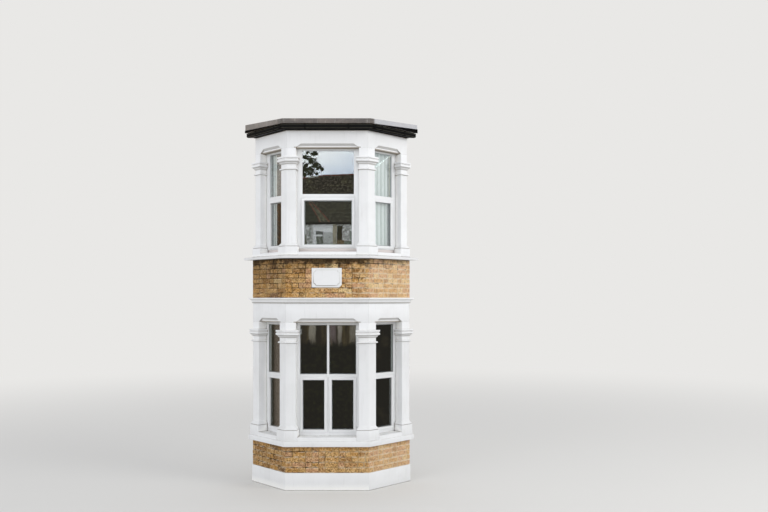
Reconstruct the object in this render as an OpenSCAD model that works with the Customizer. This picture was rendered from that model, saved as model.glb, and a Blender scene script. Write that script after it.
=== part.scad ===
// Two-storey canted bay window of a brick terrace house, cut off flat at the house wall.
// Every face is set out from the pier face of the upper storey: "out" is a distance
// outwards from it, and negative values run into the room. The house wall is behind the bay.

/* [Plan] */
// Width of the front face, corner to corner, at the upper pier face
front_w = 1385; // [1250:5:1600]
// Projection of the upper pier face from the house wall
projection = 662; // [560:2:760]
// Angle between the front and each canted side
canted_angle = 45; // [42:1:50]
// Thickness of the brick and stone walls
wall_t = 240; // [215:5:260]
// How far the ground storey and the brick panels stand proud of the upper piers
ground_out = 30; // [0:5:50]
// Width of the upper pier face beside each window
pier_w = 155; // [140:5:200]

/* [Ground storey] */
// Height of the painted plinth
plinth_h = 300; // [150:10:450]
// How far the plinth render stands proud of the brick
plinth_out = 14; // [5:1:30]
// Height of the brick between the plinth and the ground sill
ground_wall_h = 450; // [300:10:600]
// Height of the ground windows, from the sill's step to the lintel
ground_window_h = 1945; // [1700:5:2200]
// Height of the ground lintels and frieze
ground_frieze_h = 330; // [260:5:400]

/* [Upper storey] */
// Height of the brick panels between the ground cornice and the upper sill
upper_wall_h = 670; // [600:10:800]
// Height of the upper windows, from the sill's step to the lintel
upper_window_h = 1770; // [1500:5:2000]
// Height of the upper lintels and frieze
upper_frieze_h = 295; // [240:5:400]

/* [Sills] */
// Depth of the ground sill's front edge
ground_sill_h = 95; // [60:5:120]
// Projection of the ground sill beyond the brick face
ground_sill_out = 60; // [40:5:100]
// Depth of the upper sill's front edge
upper_sill_h = 55; // [45:5:90]
// Projection of the upper sill beyond the brick face
upper_sill_out = 115; // [60:5:130]
// Height of the raised step of a sill under each window
sill_step_h = 60; // [30:5:80]
// Projection of the raised step beyond the pier face
sill_step_out = 40; // [10:5:55]
// Fall of the sill's top from the step to its front edge
sill_fall = 14; // [4:1:20]
// Width of the drip groove under a sill
drip_w = 14; // [8:1:20]

/* [Piers] */
// Height of the plinth block of an upper pier
upper_block_h = 160; // [120:5:200]
// Height of the plinth block of a ground pier
ground_block_h = 185; // [120:5:240]
// Projection of a plinth block
block_out = 38; // [20:2:50]
// Height of the splay above a plinth block
splay_h = 55; // [30:5:80]
// Height of the groove under that splay
base_quirk_h = 9; // [5:1:14]
// Distance from the top of a capital to the underside of the lintel
upper_cap_drop = 150; // [100:5:200]
// Distance from the top of a ground capital to the underside of the lintel
ground_cap_drop = 130; // [100:5:200]
// Projection of a capital
cap_out = 50; // [30:2:60]
// Height of the top band of a capital
abacus_h = 28; // [16:2:60]
// Height of the groove between the two bands of a capital
quirk_h = 22; // [12:1:30]
// Height of the lower band of a capital
band_h = 32; // [20:2:40]
// Height of the neck between the splay and the bead
neck_h = 62; // [50:2:100]
// Height of the bead below the neck
bead_h = 30; // [20:2:40]
// Projection of the bead
bead_out = 24; // [18:1:30]

/* [Lintels and cornice] */
// Height of the hollow along the lower edge of a lintel
hollow_h = 38; // [25:1:60]
// Depth of that hollow into the lintel
hollow_d = 36; // [20:1:50]
// Height of the fillet below the hollow
fillet_h = 34; // [20:2:50]
// How far the hollow's foot runs over the pier at each end
stop_lap = 4; // [0:2:30]
// Slope of the hollow's stopped ends, measured from upright
stop_angle = 54; // [40:1:60]
// Height of the cornice
cornice_h = 90; // [70:5:120]
// Projection of the cornice beyond the ground frieze
cornice_out = 60; // [40:5:80]
// Depth of the cornice's square top edge
cornice_lip_h = 24; // [16:2:34]

/* [Plaque] */
// Width of the blank stone plaque
plaque_w = 510; // [400:10:600]
// Height of the plaque
plaque_h = 330; // [240:10:360]
// Height of the plaque's lower edge above the cornice
plaque_rise = 176; // [100:2:220]
// Distance of the plaque's middle to the left of the front's middle
plaque_left = 6; // [0:2:60]
// How far the plaque stands proud of the brick
plaque_out = 16; // [8:1:30]
// Width of the plaque's plain border
plaque_border = 36; // [20:2:50]
// Height of the plaque's raised field over its border
plaque_relief = 7; // [4:1:12]
// Size of the scooped corners of the plaque's field
plaque_scoop = 40; // [30:2:70]
// Size of the piece broken from the plaque's lower right corner
plaque_chip = 62; // [20:2:80]

/* [Windows] */
// Distance from the upper pier face back to the upper window frames
upper_setback = 130; // [100:5:150]
// Distance from the ground pier face back to the ground window frames
ground_setback = 160; // [120:5:180]
// Depth of a window frame
frame_d = 68; // [55:1:75]
// Width of a side member of an upper window frame
upper_jamb_w = 82; // [60:1:90]
// Width of the head of an upper window frame
upper_top_w = 20; // [14:1:50]
// Width of the foot of an upper window frame
upper_bottom_w = 18; // [14:1:60]
// Width of a side member of a ground window frame
ground_jamb_w = 56; // [40:1:70]
// Width of the head of a ground window frame
ground_top_w = 46; // [34:1:70]
// Height of a transom
transom_h = 54; // [45:1:80]
// Height of the upper windows' transom above the window's foot
upper_transom_rise = 932; // [700:1:1100]
// Height of the ground windows' transom above the window's foot
ground_transom_rise = 1000; // [700:5:1300]
// Width of the mullion in the front ground window
mullion_w = 36; // [30:1:70]
// Height of the packing strip under an upper window frame
cill_h = 64; // [40:1:80]
// How far that strip lies behind the frame's face
cill_recess = 14; // [4:1:30]
// Width of a sash member
sash_w = 45; // [36:1:60]
// Depth of a sash
sash_d = 60; // [45:1:70]
// How far a sash stands forward of its frame
sash_out = 12; // [4:1:20]
// Width of the bead that holds a fixed pane
pane_bead_w = 12; // [8:1:22]
// How far the glazing bead lies behind the frame's face
bead_recess = 6; // [2:1:12]
// Thickness of a sealed glass unit
glass_t = 24; // [18:1:28]

/* [Window boards] */
// Thickness of an inner window board
window_board_t = 25; // [18:1:32]
// How far a window board stands into the room from the wall
window_board_in = 40; // [10:5:60]

/* [Floors and ceilings] */
// Distance from the top of the ground sill down to the ground floor boards
ground_floor_drop = 445; // [350:5:500]
// Top of the upper floor boards above the top of the cornice
upper_floor_rise = 2; // [0:1:60]
// Thickness of floor boards
board_t = 22; // [18:1:28]
// Depth of the ground floor joists
ground_joist_h = 100; // [75:5:150]
// Depth of the upper floor joists
upper_joist_h = 175; // [150:5:200]
// Width of a joist
joist_w = 50; // [38:1:63]
// Distance between joists
joist_pitch = 400; // [300:10:500]
// Thickness of a ceiling board
ceiling_t = 12; // [9:1:19]
// Height of the upper ceiling's underside above the lintels' underside
upper_ceiling_rise = 90; // [60:5:140]

/* [Roof and gutter] */
// Height of the roof's edge timbers
roof_plate_h = 90; // [70:5:120]
// Thickness of the fascia board
fascia_t = 20; // [16:1:25]
// Projection of the roof deck's edge beyond the pier face
kerb_out = 122; // [110:2:150]
// Height of the roof deck's edge
kerb_h = 78; // [60:2:100]
// Rise of the deck from its front edge to the house wall
deck_rise = 62; // [20:2:90]
// Thickness of the lead
lead_t = 6; // [4:1:8]
// Width of the gutter
gutter_w = 92; // [80:2:98]
// Depth of the gutter
gutter_h = 76; // [60:2:84]
// Thickness of the gutter's wall
gutter_t = 4; // [3:0.5:6]
// Gap between the gutter's rim and the roof deck
gutter_drop = 8; // [4:1:15]
// Radius of the gutter's lower corners
gutter_r = 26; // [18:1:32]

/* [Curtains] */
// Distance from the back of the upper window frames to the middle of the curtains
curtain_gap = 20; // [19:1:40]
// Gap between a curtain's edge and the pier or the wall line beside it
curtain_side_gap = 12; // [8:1:60]
// Width of the left curtain, drawn back towards the house
curtain_left_w = 110; // [80:10:400]
// Depth of the curtains' folds
curtain_fold = 26; // [16:2:30]
// Distance between folds
curtain_pitch = 52; // [40:2:90]
// Thickness of the curtain cloth with its lining
curtain_t = 4; // [3:0.5:6]
// Gap between the curtains' hem and the window board
curtain_hem_gap = 14; // [6:1:60]
// Height of the curtain track
track_h = 16; // [12:1:24]
// Width of the curtain track
track_w = 20; // [14:1:26]

/* [Hidden] */

LEFT = -1;
FRONT = 0;
RIGHT = 1;
FACES = [LEFT, FRONT, RIGHT];
WHITE = "#EBECEF";
BRICK = "#B08C5C";
LEAD = "#87827F";
TIMBER = "#B89A6B";
arc_fn = 48;

// The canted side's length, and how far its end and its mitre move for each millimetre outwards
side_len = projection / sin(canted_angle);
mitre_run = tan(canted_angle / 2);
wall_run = 1 / tan(canted_angle);
half_front = front_w / 2;
half_width = half_front + projection / tan(canted_angle);
pier_reach = max(cap_out, block_out, bead_out);
// The origin lies under the middle of the part's whole depth
masonry_reach = ground_out + max(upper_sill_out, ground_sill_out, cornice_out, pier_reach);
reach_out = max(kerb_out + lead_t, masonry_reach);
wall_y = (projection + reach_out) / 2;
front_y = wall_y - projection;
far = 2 * (half_width + projection);

ground_sill_z = plinth_h + ground_wall_h;
ground_sill_top = ground_sill_z + ground_sill_h;
ground_foot_z = ground_sill_top + sill_step_h;
ground_head_z = ground_foot_z + ground_window_h;
ground_cornice_z = ground_head_z + ground_frieze_h;
upper_brick_z = ground_cornice_z + cornice_h;
upper_sill_z = upper_brick_z + upper_wall_h;
upper_sill_top = upper_sill_z + upper_sill_h;
upper_foot_z = upper_sill_top + sill_step_h;
upper_head_z = upper_foot_z + upper_window_h;
eaves_z = upper_head_z + upper_frieze_h;
upper_frame_z = upper_foot_z + cill_h;
upper_frame_back = -upper_setback - frame_d;
curtain_middle = upper_frame_back - curtain_gap;
ground_floor_z = ground_sill_top - ground_floor_drop;
upper_floor_z = upper_brick_z + upper_floor_rise;
ground_ceiling_z = upper_floor_z - board_t - upper_joist_h - ceiling_t;
upper_ceiling_z = upper_head_z + upper_ceiling_rise;
roof_plate_top = eaves_z + roof_plate_h;

function face_len(face) = face == FRONT ? front_w : side_len;
function opening_w(face) = face_len(face) - 2 * pier_w;
function far_end(face, out) = face == FRONT ? half_front + out * mitre_run : side_len / 2 + out * wall_run;
function near_end(face, out) = -face_len(face) / 2 - out * mitre_run;

// Moves its children from a face's own frame, with +X along the face towards the wall,
// -Y outwards and the face's middle at X = 0, to the bay's frame
module on_face(face) {
    if (face == FRONT)
        translate([0, front_y, 0])
            children();
    else
        mirror([face == LEFT ? 1 : 0, 0, 0])
            translate([half_front, front_y, 0])
                rotate([0, 0, canted_angle])
                    translate([side_len / 2, 0, 0])
                        children();
}

// Plan of one face's strip between two distances out, mitred at the corners
module face_plan(face, inner, outer) {
    polygon([
        [near_end(face, inner), -inner],
        [far_end(face, inner), -inner],
        [far_end(face, outer), -outer],
        [near_end(face, outer), -outer],
    ]);
}

// Plan of the whole bay at a distance out, closed by the wall line or a line behind it
module bay_plan(out, behind = 0) {
    corner_x = half_front + out * mitre_run;
    end_x = half_width + out / sin(canted_angle) + behind * wall_run;
    polygon([
        [-end_x, wall_y + behind], [-corner_x, front_y - out],
        [corner_x, front_y - out], [end_x, wall_y + behind],
    ]);
}

module bay_band(inner, outer, z0, z1) {
    translate([0, 0, z0])
        linear_extrude(z1 - z0)
            difference() {
                bay_plan(outer);
                bay_plan(inner);
            }
}

module wall_panel(face, outer, z0, z1) {
    on_face(face)
        translate([0, 0, z0])
            linear_extrude(z1 - z0)
                face_plan(face, -wall_t, outer);
}

// Extrudes a profile, drawn as [distance out, height], along a face
module along_face() {
    translate([-far / 2, 0, 0])
        rotate([90, 0, 90])
            linear_extrude(far)
                mirror([1, 0])
                    children();
}

// Half-space stock whose outer side is a profile that runs along a face
module face_stock(face, out) {
    on_face(face)
        along_face()
            translate([out, 0])
                children();
}

// Half-space stock whose side towards the window is a profile that runs along a reveal
module reveal_stock(face, end) {
    on_face(face)
        mirror([end < 0 ? 1 : 0, 0, 0])
            translate([face_len(face) / 2 - pier_w, 0, 0])
                rotate([90, 0, 0])
                    linear_extrude(far, center = true)
                        mirror([1, 0])
                            children();
}

module before_wall() {
    translate([-far / 2, wall_y - far, 0])
        cube([far, far, 2 * eaves_z]);
}

module bay_prism(out, z0, z1) {
    translate([0, 0, z0])
        linear_extrude(z1 - z0)
            bay_plan(out, 1);
}

// A moulding round all three faces, mitred at the corners and cut at the wall
module moulding(inner, out, z0, z1) {
    difference() {
        intersection() {
            face_stock(LEFT, out)
                children();
            face_stock(FRONT, out)
                children();
            face_stock(RIGHT, out)
                children();
            before_wall();
        }
        bay_prism(inner, z0 - 1, z1 + 1);
    }
}

module sill_profile(shelf, nose, z, h) {
    polygon([[-far, z], [nose, z], [nose, z + h - sill_fall], [shelf, z + h], [-far, z + h]]);
}

// A stone sill round the bay, with a raised step under each window between the piers
module sill(pier_face, setback, nose, z, h) {
    color(WHITE) {
        difference() {
            moulding(-wall_t, ground_out, z, z + h)
                sill_profile(pier_face + block_out - ground_out, nose, z, h);
            bay_band(ground_out + nose - 2 * drip_w, ground_out + nose - drip_w, z - 1, z + drip_w / 2);
        }
        for (face = FACES)
            on_face(face)
                cut_at_wall(face, z) {
                    bar(opening_w(face), z + h / 2, h / 2 + sill_step_h,
                        pier_face - setback, wall_t + pier_face - setback);
                    bar(opening_w(face) - 2 * block_out, z + h / 2, h / 2 + sill_step_h,
                        pier_face + sill_step_out, sill_step_out + setback + 1);
                }
    }
}

// Cuts what is placed on a face at the house wall
module cut_at_wall(face, z0) {
    intersection() {
        union()
            children();
        translate([0, 0, z0])
            linear_extrude(far)
                face_plan(face, -wall_t, pier_reach + ground_out);
    }
}

// Outline of a pier's moulded sides, drawn as [distance out, height]:
// plinth block, groove, splay, shaft, bead, neck, splayed capital with two bands, and the plain block above
module pier_outline(z0, z1, block_h, cap_drop) {
    block_top = z0 + block_h;
    cap_top = z1 - cap_drop;
    band_top = cap_top - abacus_h - quirk_h;
    band_foot = band_top - band_h;
    neck_top = band_foot - cap_out;
    bead_z = neck_top - neck_h - bead_h;
    bead_flat = bead_out - bead_h / 2;
    polygon([
        [-far, z0], [block_out, z0], [block_out, block_top - base_quirk_h],
        [block_out * 0.75, block_top - base_quirk_h], [block_out * 0.75, block_top],
        [block_out, block_top], [0, block_top + splay_h],
        [0, bead_z], [bead_flat, bead_z], [bead_flat, bead_z + bead_h], [0, bead_z + bead_h],
        [0, neck_top], [cap_out * 0.42, neck_top + cap_out * 0.42],
        [cap_out * 0.42, neck_top + cap_out * 0.58], [cap_out * 0.84, band_foot],
        [cap_out, band_foot], [cap_out, band_top], [cap_out * 0.8, band_top],
        [cap_out * 0.8, band_top + quirk_h], [cap_out, band_top + quirk_h],
        [cap_out, cap_top], [0, cap_top], [0, z1], [-far, z1],
    ]);
    translate([bead_flat, bead_z + bead_h / 2])
        circle(d = bead_h, $fn = arc_fn);
}

module plain_outline(z0, z1) {
    translate([-far, z0])
        square([far, z1 - z0]);
}

// The faces and reveals that bound a pier: one face beside the wall, or two at a corner
module pier_stock(side, at_wall, out) {
    intersection() {
        face_stock(side, out)
            children();
        reveal_stock(side, at_wall ? 1 : -1)
            children();
        if (at_wall)
            before_wall();
        else
            intersection() {
                face_stock(FRONT, out)
                    children();
                reveal_stock(FRONT, side)
                    children();
            }
    }
}

// A pier whose mouldings run along its faces and return on the window reveals
// as far as the frames, with a plain core behind them
module pier(side, at_wall, out, setback, z0, z1, block_h, cap_drop) {
    frame_face = out - setback;
    color(WHITE) {
        difference() {
            pier_stock(side, at_wall, out)
                pier_outline(z0, z1, block_h, cap_drop);
            bay_prism(frame_face, z0 - 1, z1 + 1);
        }
        difference() {
            pier_stock(side, at_wall, frame_face + 1)
                plain_outline(z0, z1);
            bay_prism(-wall_t, z0 - 1, z1 + 1);
        }
    }
}

module ground_pier(side, at_wall) {
    pier(side, at_wall, ground_out, ground_setback, ground_sill_top, ground_head_z,
        ground_block_h, ground_cap_drop);
}

module upper_pier(side, at_wall) {
    pier(side, at_wall, 0, upper_setback, upper_sill_top, upper_head_z,
        upper_block_h, upper_cap_drop);
}

// A plain lintel and frieze with a hollow along its lower edge, stopped over the jambs
module lintel(face, pier_face, z0, z1) {
    foot_w = opening_w(face) + 2 * stop_lap;
    rise = fillet_h + hollow_h + 1;
    run = rise * tan(stop_angle);
    color(WHITE)
        difference() {
            wall_panel(face, pier_face, z0, z1);
            on_face(face)
                intersection() {
                    along_face()
                        translate([pier_face, z0 - 1])
                            hollow_profile();
                    rotate([90, 0, 0])
                        linear_extrude(far, center = true)
                            polygon([
                                [-foot_w / 2, z0 - 1], [foot_w / 2, z0 - 1],
                                [foot_w / 2 - run, z0 + rise], [-foot_w / 2 + run, z0 + rise],
                            ]);
                }
        }
}

module hollow_profile() {
    polygon([
        [1, 0], [1, fillet_h + hollow_h + 2], [0, fillet_h + hollow_h + 1],
        [-hollow_d, fillet_h + 1], [-hollow_d, 0],
    ]);
}

module ground_lintel(face) {
    lintel(face, ground_out, ground_head_z, ground_cornice_z);
}

module upper_lintel(face) {
    lintel(face, 0, upper_head_z, eaves_z);
}

module ground_sill() {
    sill(ground_out, ground_setback, ground_sill_out, ground_sill_z, ground_sill_h);
}

module upper_sill() {
    sill(0, upper_setback, upper_sill_out, upper_sill_z, upper_sill_h);
}

module plinth() {
    color(WHITE)
        bay_band(-wall_t, ground_out + plinth_out, 0, plinth_h);
}

module ground_wall(face) {
    color(BRICK)
        wall_panel(face, ground_out, plinth_h, ground_sill_z);
}

module upper_wall(face) {
    color(BRICK)
        wall_panel(face, ground_out, upper_brick_z, upper_sill_z);
}

// Square lip over a hollow and a fillet
module ground_cornice() {
    lip_z = upper_brick_z - cornice_lip_h;
    hollow_r = cornice_out * 0.62;
    color(WHITE)
        moulding(-wall_t, ground_out, ground_cornice_z, upper_brick_z)
            difference() {
                translate([-far, ground_cornice_z])
                    square([far + cornice_out, cornice_h]);
                translate([cornice_out * 0.9, lip_z - hollow_r])
                    circle(r = hollow_r, $fn = arc_fn);
                translate([cornice_out * 0.24, ground_cornice_z - 1])
                    square([cornice_out, lip_z - hollow_r - ground_cornice_z + 1]);
                translate([cornice_out * 0.9, ground_cornice_z - 1])
                    square([cornice_out, lip_z - ground_cornice_z + 1]);
            }
}

module plaque_field() {
    field_w = plaque_w - 2 * plaque_border;
    field_h = plaque_h - 2 * plaque_border;
    difference() {
        square([field_w, field_h], center = true);
        for (x = [-1, 1], z = [-1, 1])
            translate([x * field_w / 2, z * field_h / 2])
                circle(r = plaque_scoop, $fn = arc_fn);
    }
}

module plaque() {
    color(WHITE)
        translate([-plaque_left, front_y - ground_out, upper_brick_z + plaque_rise + plaque_h / 2])
            rotate([90, 0, 0])
                difference() {
                    union() {
                        linear_extrude(plaque_out - plaque_relief)
                            square([plaque_w, plaque_h], center = true);
                        linear_extrude(plaque_out)
                            plaque_field();
                    }
                    translate([plaque_w / 2, -plaque_h / 2, 0])
                        rotate([0, 0, 45])
                            cube([plaque_chip, plaque_chip, 3 * plaque_out], center = true);
                }
}

// A rectangular ring on a face: its outer edges, and the width of each member
module ring(w, z0, z1, side, foot, top, front, depth) {
    translate([-w / 2, -front, z0])
        difference() {
            cube([w, depth, z1 - z0]);
            translate([side, -1, foot])
                cube([w - 2 * side, depth + 2, z1 - z0 - foot - top]);
        }
}

module bar(w, z0, h, front, depth) {
    translate([-w / 2, -front, z0])
        cube([w, depth, h]);
}

// A plastic frame on a packing strip, with a transom, a fixed light above it and its glazing bead
module upper_frame(face) {
    w = opening_w(face);
    front = -upper_setback;
    transom_z = upper_foot_z + upper_transom_rise;
    color(WHITE)
        on_face(face)
            cut_at_wall(face, upper_foot_z) {
                ring(w, upper_frame_z, upper_head_z, upper_jamb_w, upper_bottom_w, upper_top_w,
                    front, frame_d);
                bar(w, transom_z, transom_h, front, frame_d);
                bar(w, upper_foot_z, cill_h, front - cill_recess, frame_d - cill_recess);
                light_bead(w - 2 * upper_jamb_w, transom_z + transom_h, upper_head_z - upper_top_w, front);
            }
}

module light_bead(w, z0, z1, front) {
    ring(w + 2, z0 - 1, z1 + 1, pane_bead_w + 1, pane_bead_w + 1, pane_bead_w / 2 + 1,
        front - bead_recess, (frame_d - glass_t) / 2 - bead_recess);
}

module ground_frame(face) {
    w = opening_w(face);
    front = ground_out - ground_setback;
    transom_z = ground_foot_z + ground_transom_rise;
    color(WHITE)
        on_face(face)
            cut_at_wall(face, ground_foot_z) {
                ring(w, ground_foot_z, ground_head_z, ground_jamb_w, ground_jamb_w, ground_top_w,
                    front, frame_d);
                bar(w, transom_z, transom_h, front, frame_d);
                if (face == FRONT)
                    bar(mullion_w, ground_foot_z, ground_head_z - ground_foot_z, front, frame_d);
            }
}

function ground_light_w() = (opening_w(FRONT) - 2 * ground_jamb_w - mullion_w) / 2;

module sash(w, z0, z1, front) {
    ring(w, z0, z1, sash_w, sash_w, sash_w, front + sash_out, sash_d);
}

module upper_sashes() {
    color(WHITE)
        for (face = FACES)
            on_face(face)
                sash(opening_w(face) - 2 * upper_jamb_w, upper_frame_z + upper_bottom_w,
                    upper_foot_z + upper_transom_rise, -upper_setback);
}

module ground_sashes() {
    z0 = ground_foot_z + ground_jamb_w;
    z1 = ground_foot_z + ground_transom_rise;
    front = ground_out - ground_setback;
    color(WHITE) {
        for (face = [LEFT, RIGHT])
            on_face(face)
                sash(opening_w(face) - 2 * ground_jamb_w, z0, z1, front);
        for (side = [-1, 1])
            on_face(FRONT)
                translate([side * (ground_light_w() + mullion_w) / 2, 0, 0])
                    sash(ground_light_w(), z0, z1, front);
    }
}

module pane(w, z0, z1, front) {
    translate([-w / 2, -front + (frame_d - glass_t) / 2, z0])
        cube([w, glass_t, z1 - z0]);
}

module upper_glass() {
    transom_z = upper_foot_z + upper_transom_rise;
    color("#5A6468", 0.5)
        for (face = FACES)
            on_face(face) {
                w = opening_w(face) - 2 * upper_jamb_w;
                pane(w, transom_z + transom_h, upper_head_z - upper_top_w, -upper_setback);
                pane(w - 2 * sash_w, upper_frame_z + upper_bottom_w + sash_w, transom_z - sash_w,
                    -upper_setback);
            }
}

module ground_glass() {
    front = ground_out - ground_setback;
    z0 = ground_foot_z + ground_jamb_w + sash_w;
    transom_z = ground_foot_z + ground_transom_rise;
    color("#5A6468", 0.5) {
        for (face = [LEFT, RIGHT])
            on_face(face) {
                w = opening_w(face) - 2 * ground_jamb_w;
                pane(w, transom_z + transom_h, ground_head_z - ground_top_w, front);
                pane(w - 2 * sash_w, z0, transom_z - sash_w, front);
            }
        for (side = [-1, 1])
            on_face(FRONT)
                translate([side * (ground_light_w() + mullion_w) / 2, 0, 0]) {
                    pane(ground_light_w(), transom_z + transom_h, ground_head_z - ground_top_w, front);
                    pane(ground_light_w() - 2 * sash_w, z0, transom_z - sash_w, front);
                }
    }
}

// Boards on the sills' steps, between the frames and the room
module window_boards() {
    color(WHITE) {
        window_board(ground_out - ground_setback - frame_d, ground_foot_z);
        window_board(upper_frame_back, upper_foot_z);
    }
}

module window_board(frame_back, z) {
    difference() {
        bay_band(-wall_t - window_board_in, frame_back, z, z + window_board_t);
        for (side = [LEFT, RIGHT]) {
            pier_gap(side, true, frame_back, z);
            pier_gap(side, false, frame_back, z);
        }
    }
}

// Notch in a window board for the back of a pier
module pier_gap(side, at_wall, frame_back, z) {
    difference() {
        pier_stock(side, at_wall, frame_back + 1)
            plain_outline(z - 1, z + window_board_t + 1);
        bay_prism(-wall_t, z - 2, z + window_board_t + 2);
    }
}

// Boards over joists that run from the front wall to the house
module timber_floor(top_z, joist_h) {
    joists = floor((half_front - wall_t * mitre_run) / joist_pitch);
    color(TIMBER) {
        translate([0, 0, top_z - board_t])
            linear_extrude(board_t)
                bay_plan(-wall_t);
        for (i = [-joists:joists])
            translate([i * joist_pitch - joist_w / 2, front_y + wall_t, top_z - board_t - joist_h])
                cube([joist_w, projection - wall_t, joist_h]);
    }
}

module ceiling_board(z) {
    color(WHITE)
        translate([0, 0, z])
            linear_extrude(ceiling_t)
                bay_plan(-wall_t);
}

// A track under the lintel of each side window, from the corner pier to the wall line
module curtain_track() {
    z0 = upper_head_z - track_h;
    color(WHITE)
        for (face = [LEFT, RIGHT])
            on_face(face)
                cut_at_wall(face, z0)
                    bar(opening_w(face), z0, track_h, curtain_middle + track_w / 2, track_w);
}

// Plan of a curtain in even folds, as a wave of one cloth's thickness that ends at X = 0
module curtain_plan(w) {
    steps = 10 * floor(w / curtain_pitch);
    function wave(i) = curtain_fold / 2 * sin(360 * i / 10);
    function x_at(i) = w * (i / steps - 1);
    polygon(concat(
        [for (i = [0:steps]) [x_at(i), wave(i) - curtain_t / 2]],
        [for (i = [steps:-1:0]) [x_at(i), wave(i) + curtain_t / 2]]
    ));
}

// How far towards the wall a side window's curtain can hang
function curtain_end(face) =
    far_end(face, curtain_middle - (curtain_fold + curtain_t) / 2) - curtain_side_gap;

module curtain(face, w) {
    z0 = upper_foot_z + window_board_t + curtain_hem_gap;
    z1 = upper_head_z - track_h;
    color("#B9BBB0")
        on_face(face)
            translate([curtain_end(face), -curtain_middle, z0])
                linear_extrude(z1 - z0)
                    curtain_plan(w);
}

module curtain_left() {
    curtain(LEFT, curtain_left_w);
}

// The right curtain is drawn across its whole window
module curtain_right() {
    curtain(RIGHT, curtain_end(RIGHT) + opening_w(RIGHT) / 2 - curtain_side_gap);
}

// Edge timbers on the wall heads, with joists between them
module roof_frame() {
    joists = floor((half_front - wall_t * mitre_run) / joist_pitch);
    color(TIMBER) {
        bay_band(-wall_t, 0, eaves_z, roof_plate_top);
        for (i = [-joists:joists])
            translate([i * joist_pitch - joist_w / 2, front_y + wall_t - 1, eaves_z])
                cube([joist_w, projection - wall_t + 1, roof_plate_h]);
    }
}

module fascia() {
    color("#2A2826")
        bay_band(0, fascia_t, eaves_z, roof_plate_top);
}

// Outer side of the gutter, with a round lower corner, on stock that runs back behind it
module gutter_section(w, z, h, r, back) {
    translate([-back, z + r])
        square([back + w, h - r]);
    translate([-back, z])
        square([back + w - r, r + 1]);
    translate([w - r, z + r])
        circle(r, $fn = arc_fn);
}

module gutter() {
    z = roof_plate_top - gutter_drop - gutter_h;
    color("#232220")
        difference() {
            moulding(fascia_t, fascia_t, z, z + gutter_h)
                gutter_section(gutter_w, z, gutter_h, gutter_r, far);
            moulding(fascia_t + gutter_t, fascia_t + gutter_t, z, z + gutter_t + gutter_h)
                gutter_section(gutter_w - 2 * gutter_t, z + gutter_t, gutter_h, gutter_r - gutter_t, far);
        }
}

// All that lies under the roof's one slope, which rises from the deck's front edge to the wall
module under_slope(edge_z) {
    run = projection + kerb_out;
    fall = deck_rise / run;
    rotate([90, 0, 90])
        linear_extrude(2 * far, center = true)
            polygon([
                [wall_y - 2 * run, roof_plate_top - 2], [wall_y + run, roof_plate_top - 2],
                [wall_y + run, edge_z + deck_rise + run * fall], [wall_y - 2 * run, edge_z - run * fall],
            ]);
}

module roof_deck() {
    edge_z = roof_plate_top + kerb_h;
    color(TIMBER)
        intersection() {
            bay_prism(kerb_out, roof_plate_top, edge_z + 2 * deck_rise);
            before_wall();
            under_slope(edge_z);
        }
}

// Lead dressed over the deck and down its edges
module lead_roof() {
    edge_z = roof_plate_top + kerb_h;
    color(LEAD)
        difference() {
            intersection() {
                bay_prism(kerb_out + lead_t, roof_plate_top, edge_z + 2 * deck_rise);
                before_wall();
                under_slope(edge_z + lead_t);
            }
            intersection() {
                bay_prism(kerb_out, roof_plate_top - 1, edge_z + 2 * deck_rise);
                under_slope(edge_z);
            }
        }
}

plinth();
ground_wall(LEFT);  // ground_wall_left
ground_wall(FRONT);  // ground_wall_front
ground_wall(RIGHT);  // ground_wall_right
ground_sill();
ground_pier(LEFT, true);  // ground_pier_left_end
ground_pier(LEFT, false);  // ground_pier_left_corner
ground_pier(RIGHT, false);  // ground_pier_right_corner
ground_pier(RIGHT, true);  // ground_pier_right_end
ground_lintel(LEFT);  // ground_lintel_left
ground_lintel(FRONT);  // ground_lintel_front
ground_lintel(RIGHT);  // ground_lintel_right
ground_cornice();
upper_wall(LEFT);  // upper_wall_left
upper_wall(FRONT);  // upper_wall_front
upper_wall(RIGHT);  // upper_wall_right
plaque();
upper_sill();
upper_pier(LEFT, true);  // upper_pier_left_end
upper_pier(LEFT, false);  // upper_pier_left_corner
upper_pier(RIGHT, false);  // upper_pier_right_corner
upper_pier(RIGHT, true);  // upper_pier_right_end
upper_lintel(LEFT);  // upper_lintel_left
upper_lintel(FRONT);  // upper_lintel_front
upper_lintel(RIGHT);  // upper_lintel_right
ground_frame(LEFT);  // ground_frame_left
ground_frame(FRONT);  // ground_frame_front
ground_frame(RIGHT);  // ground_frame_right
ground_sashes();
ground_glass();
upper_frame(LEFT);  // upper_frame_left
upper_frame(FRONT);  // upper_frame_front
upper_frame(RIGHT);  // upper_frame_right
upper_sashes();
upper_glass();
window_boards();
timber_floor(ground_floor_z, ground_joist_h);  // ground_floor
ceiling_board(ground_ceiling_z);  // ground_ceiling
timber_floor(upper_floor_z, upper_joist_h);  // upper_floor
ceiling_board(upper_ceiling_z);  // upper_ceiling
curtain_track();
curtain_left();
curtain_right();
roof_frame();
fascia();
gutter();
roof_deck();
lead_roof();
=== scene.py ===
"""Two-storey canted bay window: painted stone dressings, stock brick, plastic windows and a lead roof."""
import logging
import math
import random
from dataclasses import dataclass, field
from enum import Enum, StrEnum, auto
from functools import cached_property
from typing import Callable, Iterable, Sequence

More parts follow.
